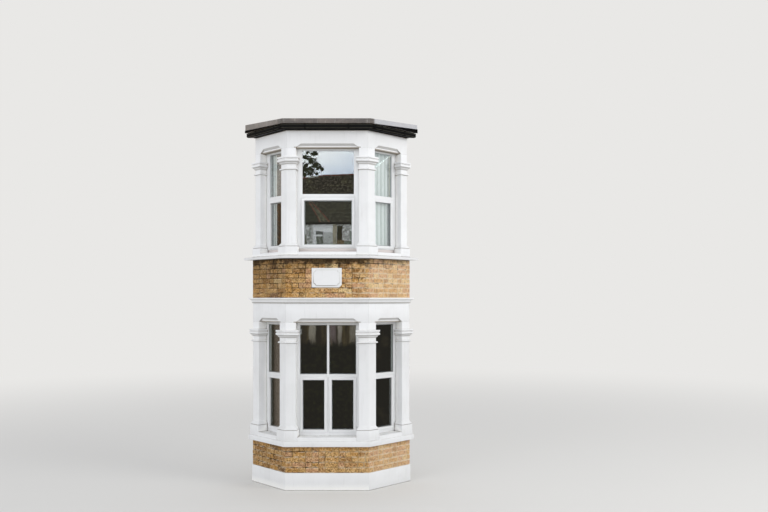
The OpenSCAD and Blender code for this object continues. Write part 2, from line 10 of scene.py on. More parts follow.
import bmesh
import bpy
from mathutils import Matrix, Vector


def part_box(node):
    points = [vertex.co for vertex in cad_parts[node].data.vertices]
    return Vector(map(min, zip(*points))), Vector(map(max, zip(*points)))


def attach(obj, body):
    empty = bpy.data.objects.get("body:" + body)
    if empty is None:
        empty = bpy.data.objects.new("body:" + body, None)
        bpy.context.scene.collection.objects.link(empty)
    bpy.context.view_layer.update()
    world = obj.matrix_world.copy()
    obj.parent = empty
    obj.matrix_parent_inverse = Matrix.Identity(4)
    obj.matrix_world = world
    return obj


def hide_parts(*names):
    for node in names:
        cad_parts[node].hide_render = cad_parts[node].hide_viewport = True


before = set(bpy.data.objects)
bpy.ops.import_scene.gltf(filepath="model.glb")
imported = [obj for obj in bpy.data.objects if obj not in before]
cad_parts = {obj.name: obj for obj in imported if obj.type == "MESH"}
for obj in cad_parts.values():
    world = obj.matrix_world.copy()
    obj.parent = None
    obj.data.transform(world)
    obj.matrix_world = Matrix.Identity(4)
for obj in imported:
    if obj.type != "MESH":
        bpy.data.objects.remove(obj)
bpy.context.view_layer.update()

log = logging.getLogger("bay_window")

MM = 0.001
SRGB_KNEE = 0.04045
# A wave node of scale 1 has its crests this far apart, in metres
WAVE = math.pi / 10
HALF_TURN_IN = math.tan(math.pi / 8)
ROAD_W = 12.6
PLASTER_WHITE = "#E4E1D8"
# The CAD model's own sizes in metres, which the visible pieces follow
WALL_Y = 0.4035
FRONT_Y = -0.2585
FRONT_W = 1.385
PROJECTION = WALL_Y - FRONT_Y
WALL_T = 0.240
GROUND_OUT = 0.030
COURSE = 0.083
BETWEEN_WALLS_Z = 2.0
UPPER_SILL_Z = 3.940
UPPER_FOOT_Z = 4.055
CILL_H = 0.064
PIER_W = 0.155
FRAME_OUT = -0.130


def linear(hex_colour: str) -> tuple[float, float, float, float]:
    """Turns an sRGB hex colour to linear light.

    Args:
        hex_colour: six hex digits after a hash sign.

    Returns:
        Linear red, green, blue and an opacity of 1.
    """
    values = [int(hex_colour[i:i + 2], 16) / 255 for i in (1, 3, 5)]
    return (*(v / 12.92 if v <= SRGB_KNEE else ((v + 0.055) / 1.055) ** 2.4 for v in values), 1.0)


class Storey(StrEnum):
    """The two storeys of the bay, named as in the CAD nodes."""

    GROUND = auto()
    UPPER = auto()


class Side(Enum):
    """The three faces of the bay."""

    LEFT = -1
    FRONT = 0
    RIGHT = 1

    @property
    def word(self) -> str:
        """Its name in the CAD nodes."""
        return self.name.lower()


@dataclass(frozen=True)
class Face:
    """One face of the bay, with x along it towards the house wall, out away from it and z up."""

    side: Side

    @property
    def length(self) -> float:
        """Length of the upper pier face between its corners."""
        return FRONT_W if self.side is Side.FRONT else PROJECTION * math.sqrt(2)

    def point(self, x: float, out: float, z: float) -> Vector:
        """Turns a place on the face to the row frame.

        Args:
            x: distance along the face from its middle.
            out: distance out from the upper piers' face.
            z: height.

        Returns:
            The point.
        """
        if self.side is Side.FRONT:
            return Vector((x, FRONT_Y - out, z))
        s = math.sqrt(0.5)
        along = x + self.length / 2
        return Vector((self.side.value * (FRONT_W / 2 + s * (along + out)), FRONT_Y + s * (along - out), z))

    def local(self, p: Vector) -> Vector:
        """Turns a point of the row frame to a place on the face.

        Args:
            p: the point.

        Returns:
            Its x, out and z on the face.
        """
        if self.side is Side.FRONT:
            return Vector((p.x, FRONT_Y - p.y, p.z))
        s = math.sqrt(0.5)
        u, v = p.x * self.side.value - FRONT_W / 2, p.y - FRONT_Y
        return Vector((s * (u + v) - self.length / 2, s * (u - v), p.z))

    def near(self, out: float) -> float:
        """The end at the mitre, at a distance out."""
        return -self.length / 2 - out * HALF_TURN_IN

    def far(self, out: float) -> float:
        """The other mitre of the front, or the cut at the house wall."""
        return self.length / 2 + out * (HALF_TURN_IN if self.side is Side.FRONT else 1.0)


FACES = {side: Face(side) for side in Side}


def round_the_bay(out: float, z: float) -> list[Vector]:
    """A level path from wall to wall.

    Args:
        out: distance out from the upper piers' face.
        z: height.

    Returns:
        Its ends in the wall plane and the two corners between them.
    """
    corner, end = FRONT_W / 2 + out * HALF_TURN_IN, FRONT_W / 2 + PROJECTION + out * math.sqrt(2)
    return [Vector((x, y, z)) for x, y in ((-end, WALL_Y), (-corner, FRONT_Y - out), (corner, FRONT_Y - out),
                                           (end, WALL_Y))]


def turns(count: int) -> list[float]:
    """Angles that part a full turn evenly."""
    return [2 * math.pi * i / count for i in range(count)]


def extent(points: Iterable[Vector]) -> tuple[Vector, Vector]:
    """Lowest and highest x, y and z among some points."""
    columns = list(zip(*points))
    return Vector([min(c) for c in columns]), Vector([max(c) for c in columns])


def extent_on(face: Face, node: str) -> tuple[Vector, Vector]:
    """Lowest and highest x, out and z of a CAD node on a face."""
    return extent(face.local(v.co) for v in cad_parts[node].data.vertices)


def placed(name: str, data: bpy.types.ID) -> bpy.types.Object:
    """A new object in the scene with a mesh, light or camera.

    Args:
        name: the object's name.
        data: what it holds.

    Returns:
        The object.
    """
    obj = bpy.data.objects.new(name, data)
    bpy.context.scene.collection.objects.link(obj)
    return obj


class Shape:
    """Collects closed pieces of mesh that end as one object."""

    def __init__(self) -> None:
        """Starts with nothing in it."""
        self.bm = bmesh.new()

    def loft(self, rings: Sequence[Sequence[Vector]], slot: int = 0) -> None:
        """Joins rings of points with side faces and closes both ends.

        Args:
            rings: lists of points, all of one length.
            slot: material slot of the new faces.
        """
        made = [[self.bm.verts.new(p) for p in ring] for ring in rings]
        n = len(made[0])
        faces = [self.bm.faces.new((a[i], a[(i + 1) % n], b[(i + 1) % n], b[i]))
                 for a, b in zip(made, made[1:]) for i in range(n)]
        faces += [self.bm.faces.new(list(reversed(made[0]))), self.bm.faces.new(made[-1])]
        for f in faces:
            f.material_index = slot

    def slab(self, face: Face, x: Sequence[float], out: Sequence[float], z: Sequence[float]) -> None:
        """A block on a face, between two values of x, out and z."""
        self.loft([[face.point(a, o, c) for a, c in ((x[0], z[0]), (x[1], z[0]), (x[1], z[1]), (x[0], z[1]))]
                   for o in out])

    def run(self, points: Sequence[Vector], section: Sequence[tuple[float, float]], slot: int = 0) -> None:
        """Carries a section along a level path that is mitred at its bends and cut off in the wall plane.

        Args:
            points: the path, at one height.
            section: pairs of distance to the path's right side and height.
            slot: material slot of the new faces.
        """
        rings = []
        for i, p in enumerate(points):
            before = (p - points[i - 1]).normalized() if i else (points[1] - p).normalized()
            after = (points[i + 1] - p).normalized() if i + 1 < len(points) else before
            side_a, side_b = Vector((before.y, -before.x, 0)), Vector((after.y, -after.x, 0))
            square = Vector((1 if side_a.x > 0 else -1, 0, 0))
            mitre = square if i in (0, len(points) - 1) else side_a + side_b
            mitre /= mitre.dot(side_a)
            rings.append([p + mitre * d + Vector((0, 0, h)) for d, h in section])
        self.loft(rings, slot)

    def rod(self, a: Vector, b: Vector, radius: float, sides: int) -> None:
        """A round bar.

        Args:
            a: one end.
            b: the other.
            radius: its radius.
            sides: number of its flats.
        """
        axis = (b - a).normalized()
        u = axis.orthogonal().normalized()
        v = axis.cross(u)
        self.loft([[p + (u * math.cos(t) + v * math.sin(t)) * radius for t in turns(sides)] for p in (a, b)])

    def piece(self, name: str, finishes: Sequence["Finish"], slot: str, soften: float = 0.0,
              replaces: Sequence[str] = (), steps: int = 2, recalc: bool = True) -> bpy.types.Object:
        """Makes the object, softens its arrises and sets it on the part.

        Args:
            name: the piece's name.
            finishes: one finish for each material slot.
            slot: the record's material slot; not used.
            soften: width of the rounded arrises in metres.
            replaces: the CAD nodes that it stands for.
            steps: rows of faces in each rounded arris.
            recalc: turns all faces outwards first.

        Returns:
            The new object.
        """
        if recalc:
            bmesh.ops.recalc_face_normals(self.bm, faces=self.bm.faces)
        if soften:
            self.round_arrises(soften, steps)
        mesh = bpy.data.meshes.new(name)
        self.bm.to_mesh(mesh)
        self.bm.free()
        return settle(name, mesh, finishes, replaces)

    def round_arrises(self, width: float, steps: int) -> None:
        """Rounds the long sharp edges, but not those of the cut at the wall, and shades curved faces smooth.

        Args:
            width: width of the rounding in metres.
            steps: rows of faces in it.
        """
        sharp, flat = math.radians(28), 0.004
        edges = [e for e in self.bm.edges if len(e.link_faces) == 2 and e.calc_face_angle(0) > sharp
                 and e.calc_length() > 2.2 * width and min(v.co.y for v in e.verts) < WALL_Y - 0.6 * MM]
        made = bmesh.ops.bevel(self.bm, geom=edges, offset=width, offset_type="OFFSET", segments=steps,
                               profile=0.5, affect="EDGES", clamp_overlap=True, material=-1)
        rounded = set(made["faces"])
        for f in self.bm.faces:
            f.smooth = f in rounded or any(flat < e.calc_face_angle(0) < sharp for e in f.edges
                                           if len(e.link_faces) == 2)
        for e in self.bm.edges:
            e.smooth = len(e.link_faces) == 2 and e.calc_face_angle(0) < sharp


def settle(name: str, mesh: bpy.types.Mesh, finishes: Sequence["Finish"],
           replaces: Sequence[str] = ()) -> bpy.types.Object:
    """Sets a finished mesh on the part.

    Args:
        name: the piece's name.
        mesh: its mesh.
        finishes: one finish for each material slot.
        replaces: the CAD nodes that it stands for.

    Returns:
        The new object.
    """
    obj = placed(name, mesh)
    for finish in finishes:
        mesh.materials.append(finish.material())
    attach(obj, "root")
    if replaces:
        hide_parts(*replaces)
    log.info("%s: %d faces", name, len(mesh.polygons))
    return obj


def softened(node: str, name: str, finish: "Finish", slot: str, width: float,
             steps: int = 2) -> bpy.types.Object:
    """A copy of a CAD node with rounded arrises, which stands for the node.

    Args:
        node: the CAD node.
        name: name of the copy.
        finish: its finish.
        slot: the record's material slot.
        width: width of the rounded arrises in metres.
        steps: rows of faces in each rounded arris.

    Returns:
        The copy.
    """
    shape = Shape()
    bm = shape.bm
    bm.from_mesh(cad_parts[node].data)
    bmesh.ops.remove_doubles(bm, verts=bm.verts, dist=0.4 * MM)
    bmesh.ops.dissolve_degenerate(bm, dist=0.4 * MM, edges=bm.edges)
    bmesh.ops.dissolve_limit(bm, angle_limit=math.radians(0.6), verts=bm.verts, edges=bm.edges)
    for f in shape.bm.faces:
        f.material_index = 0
    return shape.piece(name, [finish], slot, width, [node], steps, recalc=False)


def islands(node: str) -> Iterable[tuple[Face, Vector, Vector]]:
    """Finds the separate solids of a CAD node.

    Args:
        node: the CAD node.

    Yields:
        The face that each solid lies on, with its lowest and highest x, out and z there.
    """
    front_half = 0.62
    bm = bmesh.new()
    bm.from_mesh(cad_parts[node].data)
    bmesh.ops.remove_doubles(bm, verts=bm.verts, dist=0.01 * MM)
    left = set(bm.verts)
    while left:
        group, todo = set(), [left.pop()]
        while todo:
            v = todo.pop()
            group.add(v)
            for e in v.link_edges:
                w = e.other_vert(v)
                if w in left:
                    left.discard(w)
                    todo.append(w)
        middle = sum((v.co for v in group), Vector()) / len(group)
        side = Side.FRONT if abs(middle.x) < front_half else (Side.RIGHT if middle.x > 0 else Side.LEFT)
        yield FACES[side], *extent(FACES[side].local(v.co) for v in group)
    bm.free()


class Value:
    """One output of a node, which can be reckoned with like a number; each sum adds a node."""

    def __init__(self, put: "Nodes", node: bpy.types.Node, out: int | str) -> None:
        """Keeps the nodes it belongs to, its node and its output's name or number."""
        self.put, self.node, self.out = put, node, out

    def __add__(self, other: "Value | float") -> "Value":
        """The sum."""
        return self.put("plus", self, other)

    def __sub__(self, other: "Value | float") -> "Value":
        """The difference."""
        return self.put("less", self, other)

    def __rsub__(self, other: float) -> "Value":
        """The difference from a number."""
        return self.put("less", other, self)

    def __mul__(self, other: "Value | float") -> "Value":
        """The product."""
        return self.put("times", self, other)

    def __gt__(self, other: "Value | float") -> "Value":
        """One where it is greater, and zero elsewhere."""
        return self.put("over", self, other)

    def __lt__(self, other: "Value | float") -> "Value":
        """One where it is less, and zero elsewhere."""
        return self.put("under", self, other)

    def __abs__(self) -> "Value":
        """Its size without the sign."""
        return self.put("size", self)


SUMS = {"plus": "ADD", "less": "SUBTRACT", "times": "MULTIPLY", "most": "MAXIMUM", "least": "MINIMUM",
        "size": "ABSOLUTE", "over": "GREATER_THAN", "under": "LESS_THAN", "near": "COMPARE", "sway": "SINE",
        "to_and_fro": "PINGPONG"}
# For each word: the node's type, the inputs that values fill in turn, the wanted output, and its settings
KINDS: dict[str, tuple[str, tuple[int | str, ...], int | str, dict[str, object]]] = {
    **{word: ("ShaderNodeMath", (0, 1, 2), 0, {"operation": how}) for word, how in SUMS.items()},
    "mix": ("ShaderNodeMix", (0, 6, 7), 2, {"data_type": "RGBA"}),
    "band": ("ShaderNodeMapRange", (0, 1, 2, 3, 4), 0, {"interpolation_type": "SMOOTHSTEP"}),
    "between": ("ShaderNodeMapRange", (0, 3, 4), 0, {}),
    "split": ("ShaderNodeSeparateXYZ", (0,), 0, {}),
    "join": ("ShaderNodeCombineXYZ", (0, 1, 2), 0, {}),
    "length": ("ShaderNodeVectorMath", (0,), "Value", {"operation": "LENGTH"}),
    "distance": ("ShaderNodeVectorMath", (0, 1), "Value", {"operation": "DISTANCE"}),
    "cells": ("ShaderNodeTexVoronoi", ("Vector", "Scale"), "Distance", {}),
    "waves": ("ShaderNodeTexWave", ("Vector", "Scale", "Distortion"), "Fac", {"bands_direction": "Z"}),
    "courses": ("ShaderNodeTexBrick", ("Vector", "Color1", "Color2", "Mortar", "Mortar Size", "Brick Width"),
                "Color", {"offset": 0.5}),
    "bump": ("ShaderNodeBump", ("Height", "Distance", "Normal"), 0, {}),
    "surface": ("ShaderNodeBsdfPrincipled", ("Base Color", "Roughness", "IOR"), 0, {}),
    "glow": ("ShaderNodeEmission", ("Color", "Strength"), 0, {}),
    "either": ("ShaderNodeMixShader", (0, 1, 2), 0, {}),
}


class Nodes:
    """The nodes of one material; a call adds one, and the place and direction of the surface are at hand."""

    def __init__(self, tree: bpy.types.NodeTree) -> None:
        """Starts with an empty tree."""
        tree.nodes.clear()
        self.tree = tree

    def __call__(self, kind: str, *values: object, out: int | str | None = None, **settings: object) -> Value:
        """Adds a node with its settings, values and links.

        Args:
            kind: a word of KINDS, or the node's type name.
            *values: numbers, hex colours or other nodes' outputs, in the order that KINDS gives; a dict
                names its inputs.
            out: the output that is wanted, where it isn't the one that KINDS gives.
            **settings: the node's own properties.

        Returns:
            The node's output.
        """
        name, order, usual, preset = KINDS.get(kind, (kind, (), 0, {}))
        node = self.tree.nodes.new(name)
        for key, value in {**preset, **settings}.items():
            setattr(node, key, value)
        inputs = dict(zip(order, (v for v in values if not isinstance(v, dict))))
        for named in (v for v in values if isinstance(v, dict)):
            inputs.update(named)
        for key, value in inputs.items():
            if isinstance(value, Value):
                self.tree.links.new(value.node.outputs[value.out], node.inputs[key])
            else:
                node.inputs[key].default_value = linear(value) if isinstance(value, str) else value
        return Value(self, node, usual if out is None else out)

    @cached_property
    def coords(self) -> Value:
        """Place in metres on the part, as a vector."""
        return self("ShaderNodeTexCoord", out="Object")

    @cached_property
    def place(self) -> list[Value]:
        """Place in metres on the part, as x, y and z."""
        return self.axes(self.coords)

    @cached_property
    def facing(self) -> list[Value]:
        """Direction that the surface faces, as x, y and z."""
        return self.axes(self("ShaderNodeNewGeometry", out="True Normal"))

    def axes(self, vector: Value) -> list[Value]:
        """A vector's x, y and z."""
        node = self("split", vector).node
        return [Value(self, node, axis) for axis in range(3)]

    def coats(self, base: Value | str, *over: tuple[Value, Value | str]) -> Value:
        """Lays colours over another, one after the other.

        Args:
            base: the lowest colour.
            *over: the share and the colour of each coat.

        Returns:
            The colour that comes of it.
        """
        for share, colour in over:
            base = self("mix", share, base, colour)
        return base

    def grain(self, size_mm: float, detail: float = 4.0, stretch: tuple[float, float, float] = (1, 1, 1),
              rough: float = 0.55) -> Value:
        """Cloudy noise with spots of a real size.

        Args:
            size_mm: size of a spot in millimetres.
            detail: number of finer layers.
            stretch: how many times longer the spots are along x, y and z.
            rough: strength of the finer layers.

        Returns:
            A value from 0 to 1, about 0.5 on average.
        """
        scaled = self("ShaderNodeMapping", {"Vector": self.coords, "Scale": tuple(1 / s for s in stretch)})
        return self("ShaderNodeTexNoise", {"Vector": scaled, "Scale": 1 / (size_mm * MM), "Detail": detail,
                                           "Roughness": rough}, out="Fac")

    def crevice(self, reach_mm: float, most: float) -> Value:
        """How far a place lies in a quirk or under a band.

        Args:
            reach_mm: how far from the corner of a crevice it tells.
            most: the value in the deepest.

        Returns:
            A value from 0 to most.
        """
        open_air = self("ShaderNodeAmbientOcclusion", {"Distance": reach_mm * MM}, out="AO", samples=8)
        return self("band", open_air, 0.78, 0.30, 0, most)

    def cut(self) -> Value:
        """One on the faces that lie in the plane of the house wall."""
        return self.place[1] > WALL_Y - 0.6 * MM

    def room(self) -> Value:
        """One on the surfaces that lie on the room's side of the walls.

        Returns:
            A value of 0 or 1.
        """
        x, y, _ = self.place
        back = WALL_T - 2 * MM
        across = (y - FRONT_Y) - (abs(x) - FRONT_W / 2)
        return (y > FRONT_Y + back) * (across > back * math.sqrt(2))


def fresh(name: str) -> tuple[bpy.types.Material, Nodes]:
    """A new material and its nodes.

    Args:
        name: the material's name.

    Returns:
        The material, and its nodes for more to be added.
    """
    mat = bpy.data.materials.new(name)
    mat.use_nodes = True
    return mat, Nodes(mat.node_tree)


class Finish:
    """A finish: one material, made once and named for what it is."""

    made: dict[str, bpy.types.Material] = {}
    name = ""

    def material(self) -> bpy.types.Material:
        """The finish's material, made at its first use.

        Returns:
            The material.
        """
        if self.name not in Finish.made:
            mat, put = fresh(self.name)
            put("ShaderNodeOutputMaterial", {"Surface": self.shade(put)})
            Finish.made[self.name] = mat
        return Finish.made[self.name]

    def shade(self, put: Nodes) -> Value:
        """Builds the nodes and returns the shader.

        Args:
            put: the material's nodes.

        Returns:
            The shader.
        """
        raise NotImplementedError


@dataclass(frozen=True)
class MasonryPaint(Finish):
    """White masonry paint, brushed over cast stone and smooth render."""

    name: str = "masonry_paint_brushed_on_cast_stone"
    white: str = "#E9EAEB"
    sheltered: str = "#FCFCFA"
    dust: str = "#A5A39C"
    grime: str = "#756C60"
    drip: str = "#8B7F6D"
    raw: str = "#B3A995"
    plaster: str = PLASTER_WHITE
    # Heights over which the paint is darkened as painted shade under the eaves
    eaves: tuple[float, float] = (5.78, 6.05)
    # Each window head's middle and half width, under which a painted shadow line runs
    heads: tuple[tuple[float, float], ...] = ((0.0, 0.57), (1.02, 0.215))

    def marks(self, put: Nodes) -> Value:
        """Share of dirt that rain has left on the upper sill."""
        return put("near", put.place[2], UPPER_SILL_Z + 0.03, 0.035) * 0.12

    def drips(self, put: Nodes) -> Value:
        """Share of the brown painted shadow line along each window's head.

        Args:
            put: the material's nodes.

        Returns:
            A value from 0 to 0.72.
        """
        x, _, z = put.place
        over = [put("near", abs(x), middle, reach) for middle, reach in self.heads]
        line = [put("near", z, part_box(f"{storey}_lintel_front")[0][2] + 0.007, 0.009) for storey in Storey]
        return put("most", *over) * put("most", *line) * 0.72

    def shade(self, put: Nodes) -> Value:
        """Gives the eye a matt, faintly uneven white with rain marks and dusty ledges, painted shade in its
        quirks, under overhangs and under the eaves, painted shadow lines at the window heads, and painted
        fill light in its recesses.

        Args:
            put: the material's nodes.

        Returns:
            The shader.
        """
        x, _, z = put.place
        across, _, up = put.facing
        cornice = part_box("ground_cornice")[0][2]
        cloud = put.grain(420, 3)
        streak = put.grain(34, 3, (1, 1, 14))
        # Painted fill light: recesses are lightened towards white, but not on the right, where surfaces face
        # the key light
        facing_the_key = put("band", x, 0.5, 0.6) * put("band", across, 0.2, 0.4)
        inner = put("least", put.crevice(260, 2.4), 1.0 - facing_the_key)
        ledge = put("band", up, 0.35, 0.95) * put("band", put.grain(130, 4), 0.3, 0.7, 0.20, 0.36)
        # Painted shade on faces that look down, under what overhangs, but on the ground cornice only along
        # its foot
        under = put("band", up, -0.35, -0.90, 0, 0.60) - put("near", z, cornice + 0.035, 0.045) * 0.60
        # A painted shadow line along the foot of the ground cornice
        foot = put("near", z, cornice + 0.006, 0.010) * 0.55
        chips = put("band", put("cells", put.coords, 1 / (11.1111 * MM)), 0.1, 0.45)
        base = put.coats(
            self.white,
            (put("band", cloud, 0.42, 0.68, 0, 0.08), self.dust),
            (put("band", streak, 0.55, 0.80, 0, 0.13), self.dust),
            (inner, self.sheltered),
            (ledge, self.dust),
            (self.marks(put), self.grime),
            (put("most", under, 0.0), self.grime),
            # Painted shade in the quirks and under the bands
            (put("least", put.crevice(28, 1.25), 0.78), self.grime),
            (self.drips(put), self.drip),
            (foot, self.grime),
            # Painted shade under the eaves
            (put("band", z, *self.eaves, 0, 0.13), self.grime),
            (put.room() * 0.9, self.plaster),
            (put.cut(), put("mix", chips, "#8F8674", self.raw)))
        # Brush marks and stipple are drawn at 7 mm, coarser than the real 2 mm, so that they show
        stipple = put("bump", put.grain(7, 3), 0.25 * MM)
        wavy = put("bump", cloud, 2.2 * MM, stipple)
        return put("surface", base, 0.62, 1.45, {"Specular IOR Level": 0.25, "Normal": wavy})


@dataclass(frozen=True)
class PlaquePaint(MasonryPaint):
    """The same paint on the plaque, with painted shade round its raised field."""

    name: str = "masonry_paint_brushed_on_plaque"
    border: float = 0.036
    scoop: float = 0.040

    def marks(self, put: Nodes) -> Value:
        """Share of painted shade along the step of the field, most under its lower edge, and in the scooped
        corners.

        Args:
            put: the material's nodes.

        Returns:
            A value from 0 to 0.62.
        """
        x, _, z = put.place
        low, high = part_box("plaque")
        centre = ((high[0] + low[0]) / 2, (high[2] + low[2]) / 2)
        u = abs(x - centre[0]) - ((high[0] - low[0]) / 2 - self.border)
        v = abs(z - centre[1]) - ((high[2] - low[2]) / 2 - self.border)
        corner, past = put("length", put("join", u, v)), put("most", u, v)
        step = put("band", past, 0.020, 0.004) * put("band", past, -0.003, 0.001)
        step = step * (corner > self.scoop - 0.004)
        bowl = put("band", corner, self.scoop - 0.024, self.scoop - 0.006)
        bowl = bowl * ((corner < self.scoop) * (past < 0.0))
        low_down = put("band", z, centre[1] + 0.06, centre[1] - 0.12, 0.13, 0.62)
        low_down = low_down * put("band", x, centre[0] + 0.12, centre[0] + 0.18, 1.0, 0.4)
        return put("most", step, bowl) * low_down


@dataclass(frozen=True)
class StockBrick(Finish):
    """One shade of hand-made London stock brick, fired in a clamp."""

    name: str = "stock_brick"
    clay: str = "#B18B5A"
    fleck: str = "#523A20"
    sand: str = "#E6C493"
    moss: str = "#7A5B26"
    bleached: str = "#E0C2A2"
    smeared: str = "#EADCC4"
    burnt: str = "#4A2F1A"
    soot: str = "#2E2415"

    def shade(self, put: Nodes) -> Value:
        """Gives the eye sandy, pitted clay with iron flecks, sooting and painted shadow under the sill, and
        browner at the left.

        Args:
            put: the material's nodes.

        Returns:
            The shader.
        """
        x, _, z = put.place
        mottle = put.grain(25, 5, rough=0.75)
        cloud = put.grain(75, 4, (1.6, 1, 1))
        pits = put("cells", put.coords, 1 / (18.1818 * MM))
        pitted = put("band", pits, 0.34, 0.16, 0, 0.85) * put("band", x, 0.7, 0.2, 0.3, 1.0)
        mossy = put("band", put.grain(200, 4), 0.48, 0.62) * put("band", x, 0.3, -1.0, 0, 0.22)
        # Pale mortar is smeared over the bricks' edges, and dark dashes lie along the beds
        bed = from_bed(put)
        smear = put("band", bed, 0.017, 0.011) * put("band", put.grain(90, 3), 0.44, 0.56)
        smear = smear * put("band", x - z, -4.2, -2.9, 0.06, 0.62)
        dash = put("band", bed, 0.014, 0.010) * put("band", put.grain(105, 2, (1.5, 1, 0.6)), 0.57, 0.61)
        dash = dash * (put("band", x, 0.0, 0.2, 0, 0.85) * put("band", x, 0.72, 0.62))
        base = put.coats(
            self.clay,
            (put("band", cloud, 0.48, 0.66, 0, 0.48), self.sand),
            (put("band", mottle, 0.50, 0.39, 0, 0.80), self.fleck),
            (put("band", mottle, 0.53, 0.64, 0, 0.75), self.sand),
            (mossy, self.moss),
            (pitted, self.fleck),
            # Paler and pinker towards the right side
            (put("band", x, 0.50, 0.92, 0.0, 0.30), self.bleached),
            (smear, self.smeared),
            (dash, self.burnt),
            # Sooting and damp, and under the upper sill a painted shadow as well
            (stain(put), self.soot))
        rough = put("bump", pits, 1.6 * MM, put("bump", mottle, 2.6 * MM))
        return put("surface", base, 0.9, 1.5, {"Specular IOR Level": 0.25, "Normal": rough})


def from_bed(put: Nodes) -> Value:
    """Distance from a place on a brick wall to the nearest bed joint, in metres.

    Args:
        put: the material's nodes.

    Returns:
        The distance.
    """
    z = put.place[2]
    gaps = []
    for storey in Storey:
        low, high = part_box(f"{storey}_wall_front")
        gaps.append(put("to_and_fro", z - low[2], (high[2] - low[2]) / rows_of(high[2] - low[2]) / 2))
    return put("mix", z > BETWEEN_WALLS_Z, *gaps)


def rows_of(height: float) -> int:
    """Number of brick courses in a wall."""
    return max(1, round(height / COURSE))


def stain(put: Nodes) -> Value:
    """Share of sooting and damp on the brick, up to about 0.9: under the upper sill, where it is also painted
    shadow, and down its left side.

    Args:
        put: the material's nodes.

    Returns:
        A value from 0 to 0.9.
    """
    x, _, z = put.place
    swing = put.grain(110, 5) - 0.5
    edge = z + swing * 0.55 + put("band", x, 0.55, 0.75, 0, -0.06)
    sill = put("band", edge, UPPER_SILL_Z - 0.18, UPPER_SILL_Z - 0.04, 0, 0.86)
    sill = sill * put("band", x, 0.62, 0.80, 1.0, 0.60)
    left = put("band", x + swing * 2.4, -0.2, -0.9, 0, 0.42) * put("band", z, 3.30, 3.75, 0.35, 1.0)
    return put("most", sill, left)


@dataclass(frozen=True)
class BrickBed(Finish):
    """Lime mortar between the bricks, with plaster on the room's side and bare brick at the wall's cut."""

    name: str = "lime_mortar_struck_flush"
    mortar: str = "#B0946A"
    shadow: str = "#8A7048"
    bleached: str = "#D9C6A8"
    open_joint: str = "#2C1D10"
    soot: str = "#241B10"
    plaster: str = PLASTER_WHITE
    brick: str = "#A97F56"

    def shade(self, put: Nodes) -> Value:
        """Gives the eye gritty buff joints; inside, smooth painted plaster.

        Args:
            put: the material's nodes.

        Returns:
            The shader.
        """
        x, _, z = put.place
        grit = put.grain(9, 5, rough=0.7)
        base = put("mix", put("band", grit, 0.35, 0.65), self.shadow, self.mortar)
        # Joints stand open and sooty in patches, fewer towards the right, where they are pale
        lost = put.grain(130, 4) + put("band", x, -0.6, 0.9, 0.03, -0.12)
        lost = lost + put("band", z, 3.25, 3.62, -0.05, 0.04)
        lost = lost + put("band", x, 0.5, 0.8) * put("band", z, 3.74, 3.84, -0.06, 0.10)
        level = put("band", from_bed(put), 0.008, 0.006, 0.62, 0.95)
        laid = put("courses", put("join", x, z), self.brick, "#8E6A45", "#B5A888", 0.005, 0.112,
                   {"Scale": 1.0, "Row Height": COURSE})
        base = put.coats(
            base,
            (put("band", x, 0.45, 0.85, 0, 0.75), self.bleached),
            (put("band", lost, 0.47, 0.53) * level, self.open_joint),
            # Sooting and damp, and under the upper sill a painted shadow as well
            (stain(put), self.soot),
            (put.room(), self.plaster),
            (put.cut(), laid))
        gritty = put("bump", grit, 1.6 * MM)
        return put("surface", base, 0.93, 1.5, {"Specular IOR Level": 0.2, "Normal": gritty})


@dataclass(frozen=True)
class WindowPlastic(Finish):
    """White rigid PVC, extruded and welded at the corners."""

    name: str = "pvc_extruded_white"
    white: str = "#E4E5E6"
    dust: str = "#A6A49B"

    def shade(self, put: Nodes) -> Value:
        """Gives the eye a clean, slightly wavy gloss, dusty ledges, a pinkish strip under the upper frames
        that darkens towards its foot, and painted shade in its crevices.

        Args:
            put: the material's nodes.

        Returns:
            The shader.
        """
        z, up = put.place[2], put.facing[2]
        haze = put.grain(220, 3)
        strip = put("near", z, UPPER_FOOT_Z + CILL_H / 2, CILL_H / 2 - 0.5 * MM)
        # The pinkish strip under the upper frames, darker towards its foot
        pinkish_strip_tone = put("mix", put("band", z, UPPER_FOOT_Z + 0.012, UPPER_FOOT_Z + 0.040), "#B09F9A", "#D9CECA")
        base = put.coats(
            self.white,
            (put("band", haze, 0.5, 0.75, 0, 0.08), "#B9B8B2"),
            (put("band", up, 0.5, 1.0, 0, 0.22), self.dust),
            (put.cut() * 0.2, self.dust),
            (strip * 0.75, pinkish_strip_tone),
            # Painted shade in the frame's narrow crevices
            (put.crevice(9, 0.30), "#8B8883"))
        return put("surface", base, 0.28, 1.53, {"Normal": put("bump", haze, 0.5 * MM)})


@dataclass(frozen=True)
class Rubber(Finish):
    """Black EPDM glazing gasket, extruded."""

    name: str = "epdm_gasket_extruded"
    black: str = "#2B2B2C"
    dust: str = "#6E6D6A"

    def shade(self, put: Nodes) -> Value:
        """Gives the eye a soft, dull dark line round the glass."""
        dusty = put("band", put.grain(30, 3), 0.45, 0.7, 0, 0.35)
        return put("surface", put("mix", dusty, self.black, self.dust), 0.7, 1.5)


@dataclass(frozen=True)
class SealedGlass(Finish):
    """Float glass of a sealed unit, with a faint metal coat that keeps the heat in."""

    name: str = "float_glass_coated"
    tint: str = "#F7FBF9"

    def shade(self, put: Nodes) -> Value:
        """Gives the eye clear, strongly mirroring, slightly wavy panes; the coat lifts the IOR over 1.52."""
        wave = put("bump", put.grain(700, 1), 0.35 * MM)
        return put("surface", self.tint, 0.0, 1.68, {"Transmission Weight": 1.0, "Normal": wave})


